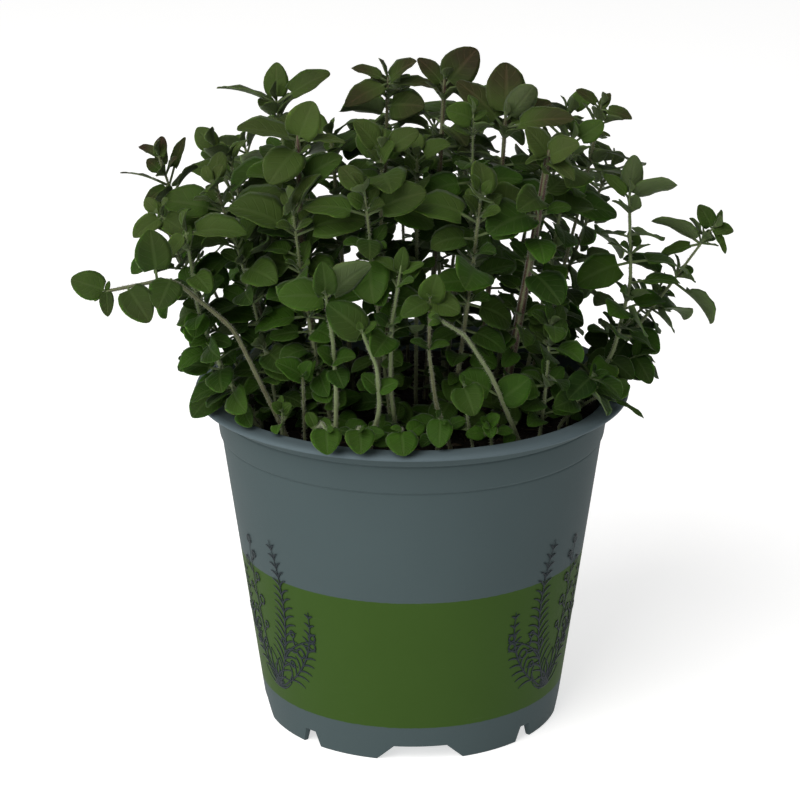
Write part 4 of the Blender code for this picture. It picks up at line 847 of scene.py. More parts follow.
# Extra pairs of tall shoots: distance below the tip in metres, least and greatest length in millimetres
EXTRA_PAIRS = ((0.0140, 8, 11.5), (0.0275, 7.5, 11), (0.0430, 6, 9), (0.0610, 5, 7.5))
EXTRA_RISE = (-8, 28)
# The lowest pair of each shoot: height above the compost, rise and length
LOWEST_HEIGHT = 0.007
LOWEST_RISE = (5, 35)
LOWEST_LENGTH = (0.004, 0.007)
# Side leaves near the foot of the outer shoots, but for those in front: where those shoots stand, then for
# short shoots the distances below the tip and for others the heights, each with turn, rise and length
OUTER_REACH = 0.028
FRONT_EDGE = -0.036
RIGHT_EDGE = 0.040
RIGHT_GROWTH = 1.25
SHORT_SHOOT = 0.030
SHORT_BELOW_RIGHT = (0.0015, 0.0030, 0.0045, 0.0060, 0.0080, 0.0100)
SHORT_BELOW_LEFT = (0.0040, 0.0080)
SHORT_TURN = (-120, 120)
SHORT_RISE = (0, 50)
SHORT_LENGTH = (0.0065, 0.0095)
LOW_HEIGHTS = (0.005, 0.011, 0.018, 0.026, 0.034)
LOW_TURN = (20, 95)
LOW_RISE = (-10, 30)
LOW_LENGTH = (0.0070, 0.0105)
FINE_FOOT_CLEAR = 0.003

# Thickness of the stems as a share of the solids' own, and that of the shoots that differ
STEM_SHARE = 0.68
STEM_SHARES = {
    "front_left": 1.0, "front_right": 1.05, "crown_right": 0.8, "crown_dark": 0.8, "arching_left": 0.72,
    "centre_bow": 0.78, "centre_arch": 0.74, "centre_left": 0.72, "hairy_left": 0.78,
}


def between(value, low, high):
    """Value held between 0 and 1 after low is brought to 0 and high to 1."""
    return min(1.0, max(0.0, (value - low) / (high - low)))


def unit_rows(vectors):
    return vectors / np.linalg.norm(vectors, axis=-1, keepdims=True)


def circle(sides):
    """Cosine and sine of even turns, as rows of x and y."""
    turns = 2 * math.pi * np.arange(sides) / sides
    return np.stack([np.cos(turns), np.sin(turns)], axis=-1)


def fine_half(shoot, share):
    """Half the thickness of a fine stem at a share of its height."""
    slim = STEM_SHARES.get(shoot["name"], STEM_SHARE)
    return slim * (shoot["foot"] + (shoot["top"] - shoot["foot"]) * share)


def low_places(shoot, draw):
    """Low leaves of a shoot at the side or back, mostly on its outer side, where the growth is densest."""
    x, y = shoot["root"][:2]
    stem_length = shoot["steps"][-1]
    if math.hypot(x, y) < OUTER_REACH or y < FRONT_EDGE:
        return []
    outer = math.atan2(y, x) - shoot["azimuth"]
    growth = RIGHT_GROWTH if x > RIGHT_EDGE else 1.0
    places = []
    if stem_length < SHORT_SHOOT:
        for below in SHORT_BELOW_RIGHT if x > 0 else SHORT_BELOW_LEFT:
            turn = outer + math.radians(draw.uniform(*SHORT_TURN))
            rise, length = draw.uniform(*SHORT_RISE), growth * draw.uniform(*SHORT_LENGTH)
            places.append((below, turn, rise, length))
        return places
    for above in LOW_HEIGHTS:
        for side in (-1, 1):
            turn = outer + side * math.radians(draw.uniform(*LOW_TURN))
            length = growth * draw.uniform(*LOW_LENGTH)
            places.append((stem_length - above, turn, draw.uniform(*LOW_RISE), length))
    return places


def fine_places(shoot, draw):
    """Where a shoot bears leaves too small for the solids: how far below its tip, turn, rise and length."""
    stem_length = shoot["steps"][-1]
    places = []
    # Both draws are made for a low shoot, so that the draws after them stay the same
    for lengths in (TIP_BUD_LENGTH, LOW_BUD_LENGTH) if shoot["pairs"] == 0 else (TIP_BUD_LENGTH,):
        places = [(BUD_BELOW, math.pi * (j + 0.5), BUD_RISE, draw.uniform(*lengths)) for j in range(2)]
    for k, (below, _, _) in enumerate(LEAF_PAIRS):
        for side in (-1, 1) if 0 < k < shoot["pairs"] else ():
            for j in range(2):
                turn = math.pi * (0.5 * k + j) + side * math.radians(draw.uniform(*AXIL_TURN))
                rise, length = draw.uniform(*AXIL_RISE), draw.uniform(*AXIL_LENGTH)
                places.append((below - AXIL_BELOW, turn, rise, length))
    for below, low, high in EXTRA_PAIRS if shoot["pairs"] > 3 else ():
        turn = draw.uniform(0, math.pi)
        for j in range(2):
            length = draw.uniform(low, high) * MILLIMETRE
            place = below * draw.uniform(0.9, 1.1)
            places.append((place, turn + math.pi * j, draw.uniform(*EXTRA_RISE), length))
    turn = draw.uniform(0, math.pi)
    for j in range(2):
        rise, length = draw.uniform(*LOWEST_RISE), draw.uniform(*LOWEST_LENGTH)
        places.append((stem_length - LOWEST_HEIGHT, turn + math.pi * j, rise, length))
    return [place for place in places + low_places(shoot, draw) if place[0] < stem_length - FINE_FOOT_CLEAR]


def over_rim(leaf):
    """True where a leaf stays above the rim's level or inside the rim."""
    low, high = box_of(leaf_mesh(leaf)[0])
    reach = max(np.hypot(x, y) for x in (low[0], high[0]) for y in (low[1], high[1]))
    return bool(low[2] > POT_HEIGHT + LEAF_CLEARANCE or reach < WALL_TOP_RADIUS)


def add_fine_leaves(shoots, draw):
    """Young leaves at the tips, small ones in the axils and low pairs, each where nothing stands."""
    pot = pot_obstacle()
    for shoot in shoots:
        others = [item for other in shoots if other is not shoot for item in other["solids"]] + [pot]
        for facts in RIM_LEAVES.get(shoot["name"], ()):
            leaf = first_free(set_leaf, (shoot, facts), SET_TURNS, SET_SIZES[:4], others)
            if leaf and over_rim(leaf):
                leaf["lightness"] = RIM_LIGHTNESS
                keep_leaf(shoot, leaf)
        for below, turn, rise, length in fine_places(shoot, draw):
            habit = drawn_habit(draw, BUD_BREADTHS, SMALL_KIND)
            place = (shoot, share_below_tip(shoot, below), shoot["azimuth"] + turn, rise, length, habit)
            leaf = first_free(ruled_leaf, place, BUD_TURNS, BUD_SIZES, others)
            if leaf and over_rim(leaf):
                keep_leaf(shoot, leaf)


def turned_inside_out(faces):
    return [face[::-1] for face in faces]


def leaf_surface(leaf, shares, tone, draw):
    """A closed blade as rings round its spine.

    point(s, a) = spine(s) + wing h(s) cos a cos f + up (h(s) |cos a|^1.4 sin f + t(s) sin a + relief + wave)
    - ahead lobe(s) cos^2 a, where h is the stalk's radius that widens into the ovate half-width, f the
    fold about the midrib, t the half-thickness and lobe draws the base's margins back beside the stalk.
    """
    centre, along, side, normal = leaf["frame"]
    petiole, length, width, curl = leaf["petiole"], leaf["length"], leaf["width"], leaf["curl"]
    u = np.concatenate([[-petiole / length], shares, [1.0]])[:, None]
    stalk = u <= 0.0
    on_blade = np.clip(u, 0, 1)
    distance = petiole + u * length
    distance[0] = STALK_START
    bent = curl * np.maximum(distance - petiole, 0) / length
    radius = length / curl
    spine = centre + along * (np.minimum(distance, petiole) + radius * np.sin(bent))
    spine = spine - normal * (radius * (1 - np.cos(bent)))
    ovate = BROADER * blade_half_width(on_blade) * (1 - POINTED * on_blade**4)
    stalk_half = PETIOLE_HALF * min(1.0, 0.55 + length / 0.030)
    half = np.maximum(0.5 * width * ovate, stalk_half * (1 - on_blade))
    thick = np.where(stalk, stalk_half, BLADE_HALF_THICKNESS * (1.15 - 0.6 * on_blade))
    fold = np.where(stalk, 0.0, FOLD * draw.uniform(*FOLD_RANGE))
    twist = TWIST * draw.uniform(-1, 1) * on_blade
    level = normal * np.cos(bent) + along * np.sin(bent)
    wing = side * np.cos(twist) + level * np.sin(twist)
    up = level * np.cos(twist) - side * np.sin(twist)
    ahead = np.cross(wing, up)
    cos_a, sin_a = circle(RING).T
    rib = np.where(stalk, 0.0, (1 - on_blade) ** 0.8)
    relief = -1.0 * (sin_a < -0.9) * MIDRIB_DROP * rib - 1.0 * (sin_a > 0.9) * MIDRIB_GROOVE * rib
    phase, waves = draw.uniform(0, 6.28), draw.uniform(*MARGIN_WAVES)
    wave = MARGIN_WAVE * (length / WAVY_LENGTH) * np.sin(2 * math.pi * waves * on_blade + phase) * cos_a
    lobe = length * draw.uniform(*LOBE) * np.exp(-((on_blade / LOBE_REACH) ** 2)) * cos_a**2
    across = half * cos_a * np.cos(fold)
    lift = half * np.abs(cos_a) ** 1.4 * np.sin(fold) + thick * sin_a + relief + np.where(stalk, 0.0, wave)
    points = spine[:, None] + wing[:, None] * across[..., None] + up[:, None] * lift[..., None]
    points = points - ahead[:, None] * np.where(stalk, 0.0, lobe)[..., None]
    rings = len(u) - 1
    points = np.concatenate([points[:-1].reshape(-1, 3), spine[-1:]])
    uv = np.stack(np.broadcast_arrays(u, 0.5 + 0.5 * cos_a), axis=-1)[:-1].reshape(-1, 2)
    uv = np.concatenate([uv, [[1.0, 0.5]]])
    under = np.concatenate([np.tile(0.5 - 0.5 * sin_a, rings), [0.5]])
    tint = np.column_stack([np.tile(tone[:2], (len(under), 1)), under, np.full(len(under), tone[2])])
    faces = tube_faces(rings, RING, tip_pole=rings * RING)
    return {"points": points, "faces": faces, "uv": uv, "tint": tint, "finish": 0}


def smooth_axis(shoot):
    """The line along a stem's middle, with eased corners; its direction; and its shares of the height."""
    share = np.linspace(0, 1, STEM_STATIONS)
    knots = np.linspace(0, 1, STEM_RINGS)
    corners = np.array([curve_point(shoot, t) for t in knots])
    line = np.stack([np.interp(share, knots, corners[:, k]) for k in range(3)], axis=-1)
    for _ in range(2):
        line[1:-1] = (line[:-2] + 2 * line[1:-1] + line[2:]) / 4
    foot = line[0].copy()
    foot[2] = SOIL_RIM - STEM_BURIED
    line = np.concatenate([[foot], line])
    return line, unit_rows(np.gradient(line, axis=0)), np.concatenate([[0.0], share])


def stem_surface(shoot, brown):
    """A rounded square tube, swollen at each pair: radius(s, a) = h(s) / (|cos a|^n + |sin a|^n)^(1/n)."""
    line, tangent, share = smooth_axis(shoot)
    first = level_direction(shoot["azimuth"])
    east = unit_rows(np.array([tilted(t, first) for t in tangent]))
    north = np.cross(tangent, east)
    half = fine_half(shoot, share)
    from_tip = shoot["steps"][-1] * (1 - share)
    for below, _, _ in LEAF_PAIRS:
        half = half * (1 + NODE_SWELL * np.exp(-(((from_tip - below) / NODE_LENGTH) ** 2)))
    half = half * (0.5 + 0.5 * np.clip(from_tip / TIP_TAPER, 0, 1))
    cos_a, sin_a = circle(RING).T
    shape = (np.abs(cos_a) ** STEM_SQUARENESS + np.abs(sin_a) ** STEM_SQUARENESS) ** (-1 / STEM_SQUARENESS)
    out = east[:, None] * cos_a[:, None] + north[:, None] * sin_a[:, None]
    points = line[:, None] + out * (half[:, None] * shape)[..., None]
    end = line[-1:] + tangent[-1:] * half[-1] * 0.6
    points = np.concatenate([points.reshape(-1, 3), end])
    uv = np.stack(np.broadcast_arrays(share[:, None], np.arange(RING) / RING), axis=-1).reshape(-1, 2)
    uv = np.concatenate([uv, [[1.0, 0.5]]])
    young = np.repeat(share, RING)
    ridge = np.tile([0.0, 1.0], len(young) // 2)
    tint = np.stack([np.full(len(young), brown), young, ridge, young * 0], axis=-1)
    tint = np.concatenate([tint, tint[-1:]])
    faces = tube_faces(len(line), RING, tip_pole=len(line) * RING)
    return {"points": points, "faces": faces, "uv": uv, "tint": tint, "finish": 1}


def hair_surface(shoot, draw):
    """Fine hairs as slim closed spikes: a small triangle on the stem's skin and a point outside it."""
    line, tangent, _ = smooth_axis(shoot)
    stem_length = shoot["steps"][-1]
    count = int(HAIRS_PER_METRE * stem_length)
    place = draw.uniform(1.2, (len(line) - 1.01) * (1 - HAIRLESS_TIP / stem_length), count)
    low = place.astype(int)
    part = (place - low)[:, None]
    base = line[low] * (1 - part) + line[low + 1] * part
    axis = tangent[low]
    loose = draw.normal(size=(count, 3))
    out = unit_rows(loose - axis * (loose * axis).sum(axis=1, keepdims=True))
    half = fine_half(shoot, place / len(line))[:, None]
    way = unit_rows(out + axis * draw.uniform(*HAIR_LEAN, (count, 1)))
    across = unit_rows(np.cross(way, axis))
    over = np.cross(way, across)
    root = base + out * half * 0.97
    cos_a, sin_a = circle(3).T[..., None]
    ring = root[:, None] + HAIR_RADIUS * (across[:, None] * cos_a + over[:, None] * sin_a)
    tip = root + way * draw.uniform(*HAIR_LENGTH, (count, 1))
    points = np.concatenate([ring, tip[:, None]], axis=1).reshape(-1, 3)
    one = np.array([[0, 1, 2], [1, 0, 3], [2, 1, 3], [0, 2, 3]])
    faces = (one[None] + 4 * np.arange(count)[:, None, None]).reshape(-1, 3).tolist()
    blank = {"uv": np.zeros((len(points), 2)), "tint": np.zeros((len(points), 4))}
    return {"points": points, "faces": faces, "finish": 2, **blank}


def make_piece(name, parts, materials, sharp=None):
    """One mesh out of parts, each with its points, faces, UVs, tint and the number of its finish."""
    points = np.concatenate([part["points"] for part in parts])
    faces = []
    start = 0
    for part in parts:
        faces += [[start + i for i in face] for face in part["faces"]]
        start += len(part["points"])
    mesh = bpy.data.meshes.new(name)
    mesh.from_pydata(points.tolist(), [], faces)
    finish = np.concatenate([np.full(len(part["faces"]), part["finish"]) for part in parts])
    for material in materials:
        mesh.materials.append(material)
    mesh.polygons.foreach_set("material_index", finish.astype(np.int32))
    corner = np.empty(len(mesh.loops), np.int32)
    mesh.loops.foreach_get("vertex_index", corner)
    if "uv" in parts[0]:
        uv = np.concatenate([part["uv"] for part in parts])
        mesh.uv_layers.new(name="blade").uv.foreach_set("vector", uv[corner].astype(np.float32).ravel())
        tint = np.concatenate([part["tint"] for part in parts])
        colour = mesh.color_attributes.new("tint", "FLOAT_COLOR", "POINT")
        colour.data.foreach_set("color", tint.astype(np.float32).ravel())
    mesh.shade_smooth()
    if sharp:
        mesh.set_sharp_from_angle(angle=sharp)
    mesh.update()
    obj = bpy.data.objects.new(name, mesh)
    bpy.context.scene.collection.objects.link(obj)
    return obj


# Materials


def rgb(red, green, blue):
    return (red, green, blue, 1.0)


DEEP_GREEN, FRESH_GREEN = rgb(0.0070, 0.0190, 0.0025), rgb(0.030, 0.075, 0.0065)
OLIVE_GREEN, YOUNG_GREEN = rgb(0.027, 0.044, 0.008), rgb(0.062, 0.088, 0.022)
VEIN_GREEN, MARGIN_GREEN = rgb(0.060, 0.095, 0.028), rgb(0.070, 0.090, 0.045)
PURPLE, PURPLE_VEIN = rgb(0.0215, 0.0115, 0.0080), rgb(0.042, 0.020, 0.014)
UNDERSIDE, PETIOLE = rgb(0.072, 0.098, 0.042), rgb(0.105, 0.140, 0.060)
PALE_FOOT, PALE_TIP, STEM_BROWN = rgb(0.165, 0.200, 0.098), rgb(0.110, 0.155, 0.058), rgb(0.052, 0.026, 0.020)
POT_GREYS = (rgb(0.0500, 0.0710, 0.0745), rgb(0.0530, 0.0750, 0.0785))
BAND_GREENS = (rgb(0.0303, 0.0640, 0.0100), rgb(0.0328, 0.0686, 0.0115))
# The second colour is a painted highlight: between the two heights below, the rim's upward top is painted a
# lighter grey for the light that falls on it from above
SCUFFED_GREEN, LIP_PAINTED_HIGHLIGHT = rgb(0.060, 0.095, 0.045), rgb(0.098, 0.130, 0.148)
BAND_LOW, BAND_HIGH, BAND_EDGE = 0.0111, 0.0534, 0.0002
PAINTED_HIGHLIGHT_LOW, PAINTED_HIGHLIGHT_HIGH = 0.1012, 0.1020

# Finishes of two colours: scale, detail and roughness of the grain; the part of it that tells; the colours;
# roughness and specular level; and the grain's relief as strength and depth
GRAINY_FINISHES = {
    "oregano_hair": ((300, 1, 0.5), (0, 1), rgb(0.24, 0.25, 0.17), rgb(0.42, 0.43, 0.34), (0.6, 0.5), None),
    "dark_blue_green_ink": (
        (500, 3, 0.5), (0, 1), rgb(0.007, 0.013, 0.017), rgb(0.012, 0.020, 0.025), (0.6, 0.2), None,
    ),
    # Dark damp peat, painted darker still to stand in for the shade that falls on the compost under the
    # leaves
    "damp_peat_and_painted_shade": (
        (900, 5, 0.65), (0.35, 0.7), rgb(0.004, 0.003, 0.002), rgb(0.016, 0.011, 0.007), (0.92, 0.2),
        (0.9, 0.0006),
    ),
    "bark_and_fibre": (
        (700, 4, 0.6), (0, 1), rgb(0.014, 0.009, 0.006), rgb(0.048, 0.033, 0.019), (0.85, 0.2), (0.8, 0.0004),
    ),
    "pale_floor": ((3, 2, 0.5), (0, 1), rgb(0.66, 0.66, 0.66), rgb(0.68, 0.68, 0.68), (0.9, 0.1), None),
}


class Finish:
    """A new material and short ways to add nodes to its tree."""

    def __init__(self, name):
        self.material = bpy.data.materials.new(name)
        self.material.use_nodes = True
        self.tree = self.material.node_tree
        self.shader = self.tree.nodes["Principled BSDF"]

    def fill(self, node, values):
        """Sets a node's sockets by name or number; a value that is a socket itself is linked."""
        for key, value in values.items():
            if isinstance(value, bpy.types.NodeSocket):
                self.tree.links.new(value, node.inputs[key])
            else:
                node.inputs[key].default_value = value

    def node(self, kind, values=None, **settings):
        made = self.tree.nodes.new("ShaderNode" + kind)
        for key, value in settings.items():
            setattr(made, key, value)
        self.fill(made, values or {})
        return made

    def maths(self, operation, a, b=0.0, clamp=False):
        return self.node("Math", {0: a, 1: b}, operation=operation, use_clamp=clamp).outputs[0]

    def times(self, a, b, clamp=False):
        return self.maths("MULTIPLY", a, b, clamp)

    def plus(self, a, b, clamp=False):
        return self.maths("ADD", a, b, clamp)

    def minus(self, a, b):
        return self.maths("SUBTRACT", a, b)

    def size(self, a):
        return self.maths("ABSOLUTE", a)

    def ramp(self, value, low, high, to_low=0.0, to_high=1.0, smooth=False):
        """Value mapped from low..high to to_low..to_high, held at the ends."""
        values = {"Value": value, "From Min": low, "From Max": high, "To Min": to_low, "To Max": to_high}
        kind = "SMOOTHSTEP" if smooth else "LINEAR"
        return self.node("MapRange", values, interpolation_type=kind).outputs["Result"]

    def blend(self, share, a, b):
        """Colour a, and colour b where the share is 1. The numbers are the colour sockets of the mix."""
        return self.node("Mix", {0: share, 6: a, 7: b}, data_type="RGBA").outputs[2]

    def noise(self, scale, detail=3.0, roughness=0.5, place=None):
        values = {"Scale": scale, "Detail": detail, "Roughness": roughness}
        values["Vector"] = place or self.node("TexCoord").outputs["Object"]
        return self.node("TexNoise", values).outputs["Fac"]

    def split(self, colour):
        return self.node("SeparateColor", {0: colour}).outputs

    def split_place(self, place):
        return self.node("SeparateXYZ", {0: place}).outputs

    def done(self, values, height=None, relief=None):
        """Fills the shader, raises its skin by a height with a relief's strength and depth, and ends."""
        self.fill(self.shader, values)
        if relief:
            bump = self.node("Bump", {"Height": height, "Strength": relief[0], "Distance": relief[1]})
            self.fill(self.shader, {"Normal": bump.outputs["Normal"]})
        return self.material


def grainy_material(name, more=None):
    """A finish of two colours that blend by a grain, with more values for the shader where they are given."""
    grain_facts, (low, high), dark, light, (roughness, specular), relief = GRAINY_FINISHES[name]
    finish = Finish(name)
    grain = finish.noise(*grain_facts)
    skin = finish.blend(finish.ramp(grain, low, high), dark, light)
    values = {"Base Color": skin, "Roughness": roughness, "Specular IOR Level": specular}
    return finish.done({**values, **(more or {})}, grain, relief)


def leaf_skin(f, u, off_rib, on_blade, veins, patch):
    """Colour of the blade: green to olive, yellowish or purple where young, paler on veins and underside."""
    facts = f.node("Attribute", attribute_name="tint").outputs
    flush, light, under = f.split(facts["Color"])
    lighter = f.plus(light, f.times(f.minus(patch, 0.5), 0.7), True)
    green = f.blend(lighter, DEEP_GREEN, FRESH_GREEN)
    green = f.blend(f.ramp(f.noise(48.0, 1.0), 0.45, 0.66, 0.0, 0.55), green, OLIVE_GREEN)
    green = f.blend(f.times(facts["Alpha"], 0.80), green, YOUNG_GREEN)
    green = f.blend(f.times(veins, 0.26), green, VEIN_GREEN)
    outer = f.ramp(f.plus(u, f.times(patch, 0.5)), 0.3, 0.9, 0.05, 1.0)
    top = f.blend(f.times(flush, outer, True), green, f.blend(veins, PURPLE, PURPLE_VEIN))
    skin = f.blend(f.ramp(under, 0.45, 0.60), top, f.blend(0.70, top, UNDERSIDE))
    margin = f.times(f.ramp(off_rib, 0.90, 0.97), on_blade)
    skin = f.blend(f.times(margin, 0.10), skin, MARGIN_GREEN)
    return f.blend(f.ramp(u, -0.04, 0.04, 0.85, 0.0), skin, PETIOLE)


def leaf_material():
    """Downy blade: a midrib and curved side veins over a quilted skin."""
    f = Finish("oregano_leaf")
    u, v, _ = f.split_place(f.node("UVMap", uv_map="blade").outputs["UV"])
    off_rib = f.size(f.minus(f.times(v, 2.0), 1.0))
    on_blade = f.ramp(u, 0.0, 0.05)
    rib = f.ramp(off_rib, 0.03, 0.16, 1.0, 0.0, True)
    forward = f.plus(f.minus(u, f.times(off_rib, 0.30)), f.times(f.noise(260.0, 2.0), 0.10))
    ridge = f.size(f.minus(f.maths("FRACT", f.times(forward, 5.5)), 0.5))
    vein = f.times(f.ramp(ridge, 0.0, 0.13, 1.0, 0.0, True), on_blade)
    vein = f.times(vein, f.ramp(off_rib, 0.6, 1.0, 1.0, 0.2))
    veins = f.maths("MAXIMUM", f.times(vein, 0.6), rib)
    patch = f.noise(140.0, 4.0)
    quilt = f.minus(f.times(f.noise(2600.0, 2.0), 0.35), veins)
    values = {
        "Base Color": leaf_skin(f, u, off_rib, on_blade, veins, patch),
        "Roughness": f.ramp(patch, 0.3, 0.7, 0.58, 0.72),
        "Specular IOR Level": 0.07,
        "Sheen Weight": 0.09,
        "Sheen Roughness": 0.3,
        "Sheen Tint": rgb(0.80, 0.95, 0.72),
        "Subsurface Weight": 0.24,
        "Subsurface Radius": (0.6, 1.0, 0.25),
        "Subsurface Scale": 0.0005,
    }
    return f.done(values, quilt, (0.55, 0.00022))


def stem_material():
    """Ribbed, hairy stem: pale green where young or shaded, purple-brown where the sun reached it."""
    f = Finish("oregano_stem")
    brown, young, ridge = f.split(f.node("Attribute", attribute_name="tint").outputs["Color"])
    share = f.times(brown, f.ramp(f.noise(420.0, 3.0), 0.25, 0.65, 0.6, 1.1), True)
    share = f.times(share, f.ramp(ridge, 0.35, 0.90, 1.0, 0.45))
    skin = f.blend(share, f.blend(young, PALE_FOOT, PALE_TIP), STEM_BROWN)
    values = {"Base Color": skin, "Roughness": 0.55, "Specular IOR Level": 0.25}
    values.update({"Sheen Weight": 0.25, "Sheen Roughness": 0.3})
    return f.done(values, f.noise(1800.0, 3.0), (0.4, 0.00012))


def pot_material():
    """Grey-blue moulded plastic with a printed green band between two levels, and a painted highlight on the
    rim's top.
    """
    f = Finish("printed_pot_plastic")
    place = f.node("TexCoord").outputs["Object"]
    z = f.split_place(place)["Z"]
    cloud = f.noise(28.0, 5.0, 0.6)
    grain = f.noise(2400.0, 3.0)
    tone = f.ramp(cloud, 0.3, 0.7)
    level = f.plus(z, f.times(f.minus(f.noise(600.0, 3.0), 0.5), 0.0004))
    below_top = f.ramp(level, BAND_HIGH, BAND_HIGH + BAND_EDGE, 1.0, 0.0)
    band = f.times(f.ramp(level, BAND_LOW, BAND_LOW + BAND_EDGE), below_top)
    squeezed = f.node("Mapping", {"Vector": place, "Scale": (60.0, 60.0, 900.0)}).outputs[0]
    scuff = f.ramp(f.noise(1.0, 4.0, 0.65, squeezed), 0.66, 0.80)
    ink = f.blend(f.times(scuff, 0.35), f.blend(tone, *BAND_GREENS), SCUFFED_GREEN)
    skin = f.blend(band, f.blend(tone, *POT_GREYS), ink)
    # Painted highlight: above the lower lip height, the rim's top blends towards a lighter grey, as if lit
    # from above
    skin = f.blend(f.ramp(z, PAINTED_HIGHLIGHT_LOW, PAINTED_HIGHLIGHT_HIGH, 0.0, 0.60), skin, LIP_PAINTED_HIGHLIGHT)
    values = {"Base Color": skin, "Roughness": f.ramp(grain, 0.3, 0.7, 0.54, 0.64)}
    values.update({"IOR": 1.22, "Specular IOR Level": 0.25})
    return f.done(values, f.plus(grain, f.times(cloud, 0.6)), (0.12, 0.00010))


# Pot

POT_TURNS = 240
GROOVE = 0.00014
SKIRT_LEVEL = 0.0090
SKIRT_EDGE = 0.00025
SKIRT_WALL = 0.0016
CORNER_RADIUS = 0.0006
LEAST_TURN = math.radians(0.12)
SHARP_ANGLE = math.radians(32)
DRAIN_SIDES = 24
DRAIN_REACH = 0.005


def notches():
    """Where each notch's middle is turned to, and its half-angles at the foot and at the top."""
    for k in range(8):
        yield NOTCH_TURN + k * math.pi / 4, *(NARROW_NOTCH if k % 2 else WIDE_NOTCH)


def skirt_lift(turns):
    """Height of the skirt's lower edge: 0 on the feet, the notch's top inside it, straight flanks between."""
    lift = np.zeros_like(turns)
    for middle, foot, top in notches():
        off = np.abs((turns - middle + math.pi) % (2 * math.pi) - math.pi)
        lift = np.maximum(lift, NOTCH_TOP * np.clip((foot - off) / (foot - top), 0, 1))
    return lift


def pot_turns():
    """Even turns, and one at each corner of each notch."""
    turns = [np.arange(POT_TURNS) * 2 * math.pi / POT_TURNS]
    for middle, foot, top in notches():
        turns.append((middle + np.array([-foot, -top, top, foot])) % (2 * math.pi))
    turns = np.unique(np.round(np.concatenate(turns), 5))
    return turns[np.concatenate([[True], np.diff(turns) > LEAST_TURN])]


def rounded(corners, radius, steps=4):
    """An open outline whose inner corners are eased: each corner becomes points of a quadratic curve."""
    corners = np.array(corners, float)
    share = np.linspace(0, 1, steps)[:, None]
    points = [corners[:1]]
    for before, corner, after in zip(corners[:-2], corners[1:-1], corners[2:]):
        start, end = (
            corner + unit(other - corner) * min(radius, 0.45 * np.linalg.norm(other - corner))
            for other in (before, after)
        )
        points.append((1 - share) ** 2 * start + 2 * share * (1 - share) * corner + share**2 * end)
    points.append(corners[-1:])
    return np.concatenate(points)


def upper_outline():
    """Radius and height from the skirt's fixed level up the wall, over the rim and down to the floor."""
    outline = [(wall_radius(SKIRT_LEVEL), SKIRT_LEVEL)]
    for drop, groove in ((0.0009, 0.0), (0.0006, GROOVE), (0.0003, GROOVE)):
        height = LEDGE_HEIGHT - drop
        outline.append((wall_radius(height) - LEDGE_STEP - groove, height))
    outline.append((wall_radius(LEDGE_HEIGHT), LEDGE_HEIGHT))
    for past_wall, above_wall in ((0.0, 0.0), (-GROOVE, 0.0003), (-GROOVE, 0.0006), (0.0006, 0.0008)):
        outline.append((WALL_TOP_RADIUS + past_wall, WALL_TOP_HEIGHT + above_wall))
    return outline + [
        (WALL_TOP_RADIUS + 0.0022, POT_HEIGHT - RIM_EDGE - 0.0008),
        (RIM_RADIUS - 0.0003, POT_HEIGHT - RIM_EDGE - 0.0007),
        (RIM_RADIUS, POT_HEIGHT - RIM_EDGE - 0.0002),
        (RIM_RADIUS - 0.0002, POT_HEIGHT - 0.0007),
        (RIM_RADIUS - 0.0013, POT_HEIGHT - 0.0002),
        (WALL_TOP_RADIUS + 0.0010, POT_HEIGHT),
        (WALL_TOP_RADIUS - WALL + 0.0001, POT_HEIGHT - 0.0014),
        (WALL_TOP_RADIUS - WALL - 0.0006, WALL_TOP_HEIGHT - 0.0030),
        (wall_radius(FLOOR_TOP) - WALL, FLOOR_TOP),
        (0.0, FLOOR_TOP),
    ]


def pot_surface():
    """The pot as one closed skin: radius and height along its outline, carried round all turns.

    Below the band the outer wall is stretched between the skirt's lifted edge and a fixed level.
    """
    turns = pot_turns()
    lift = skirt_lift(turns)
    ones = np.ones_like(turns)
    rows = [
        ((FOOT_RADIUS - 0.0020) * ones, FLOOR_UNDERSIDE * ones),
        ((FOOT_RADIUS - SKIRT_WALL) * ones, lift + SKIRT_EDGE),
        ((FOOT_RADIUS - SKIRT_WALL + SKIRT_EDGE) * ones, lift),
        (wall_radius(lift) - SKIRT_EDGE, lift),
        (wall_radius(lift), lift + SKIRT_EDGE),
    ]
    for step in np.linspace(0, 1, 7)[1:-1]:
        height = lift + (SKIRT_LEVEL - lift) * step
        rows.append((wall_radius(height), height))
    upper = rounded(upper_outline(), CORNER_RADIUS)[:-1]
    rows += [(radius * ones, height * ones) for radius, height in upper]
    radius, height = np.array(rows).transpose(1, 0, 2)
    ring = np.stack([radius * np.sin(turns), -radius * np.cos(turns), height], axis=-1)
    points = np.concatenate([ring.reshape(-1, 3), [[0, 0, FLOOR_UNDERSIDE], [0, 0, FLOOR_TOP]]])
    faces = tube_faces(len(rows), len(turns), len(points) - 2, len(points) - 1)
    return {"points": points, "faces": faces, "finish": 0}


def drain_rods():
    """Closed upright rods where the drain holes are, at the narrow notches' turns."""
    rods = []
    for k, (middle, _, _) in enumerate(notches()):
        if k % 2 == 0:
            continue
        centre = DRAIN_CIRCLE * np.array([math.sin(middle), -math.cos(middle)])
        flat = centre + DRAIN_RADIUS * circle(DRAIN_SIDES)
        heights = (FLOOR_TOP - DRAIN_REACH, FLOOR_TOP + DRAIN_REACH)
        points = np.concatenate([np.column_stack([flat, np.full(DRAIN_SIDES, height)]) for height in heights])
        part = {"points": points, "faces": tube_faces(2, DRAIN_SIDES), "finish": 0}
        rods.append(make_piece(f"drain_{k}", [part], []))
    return rods


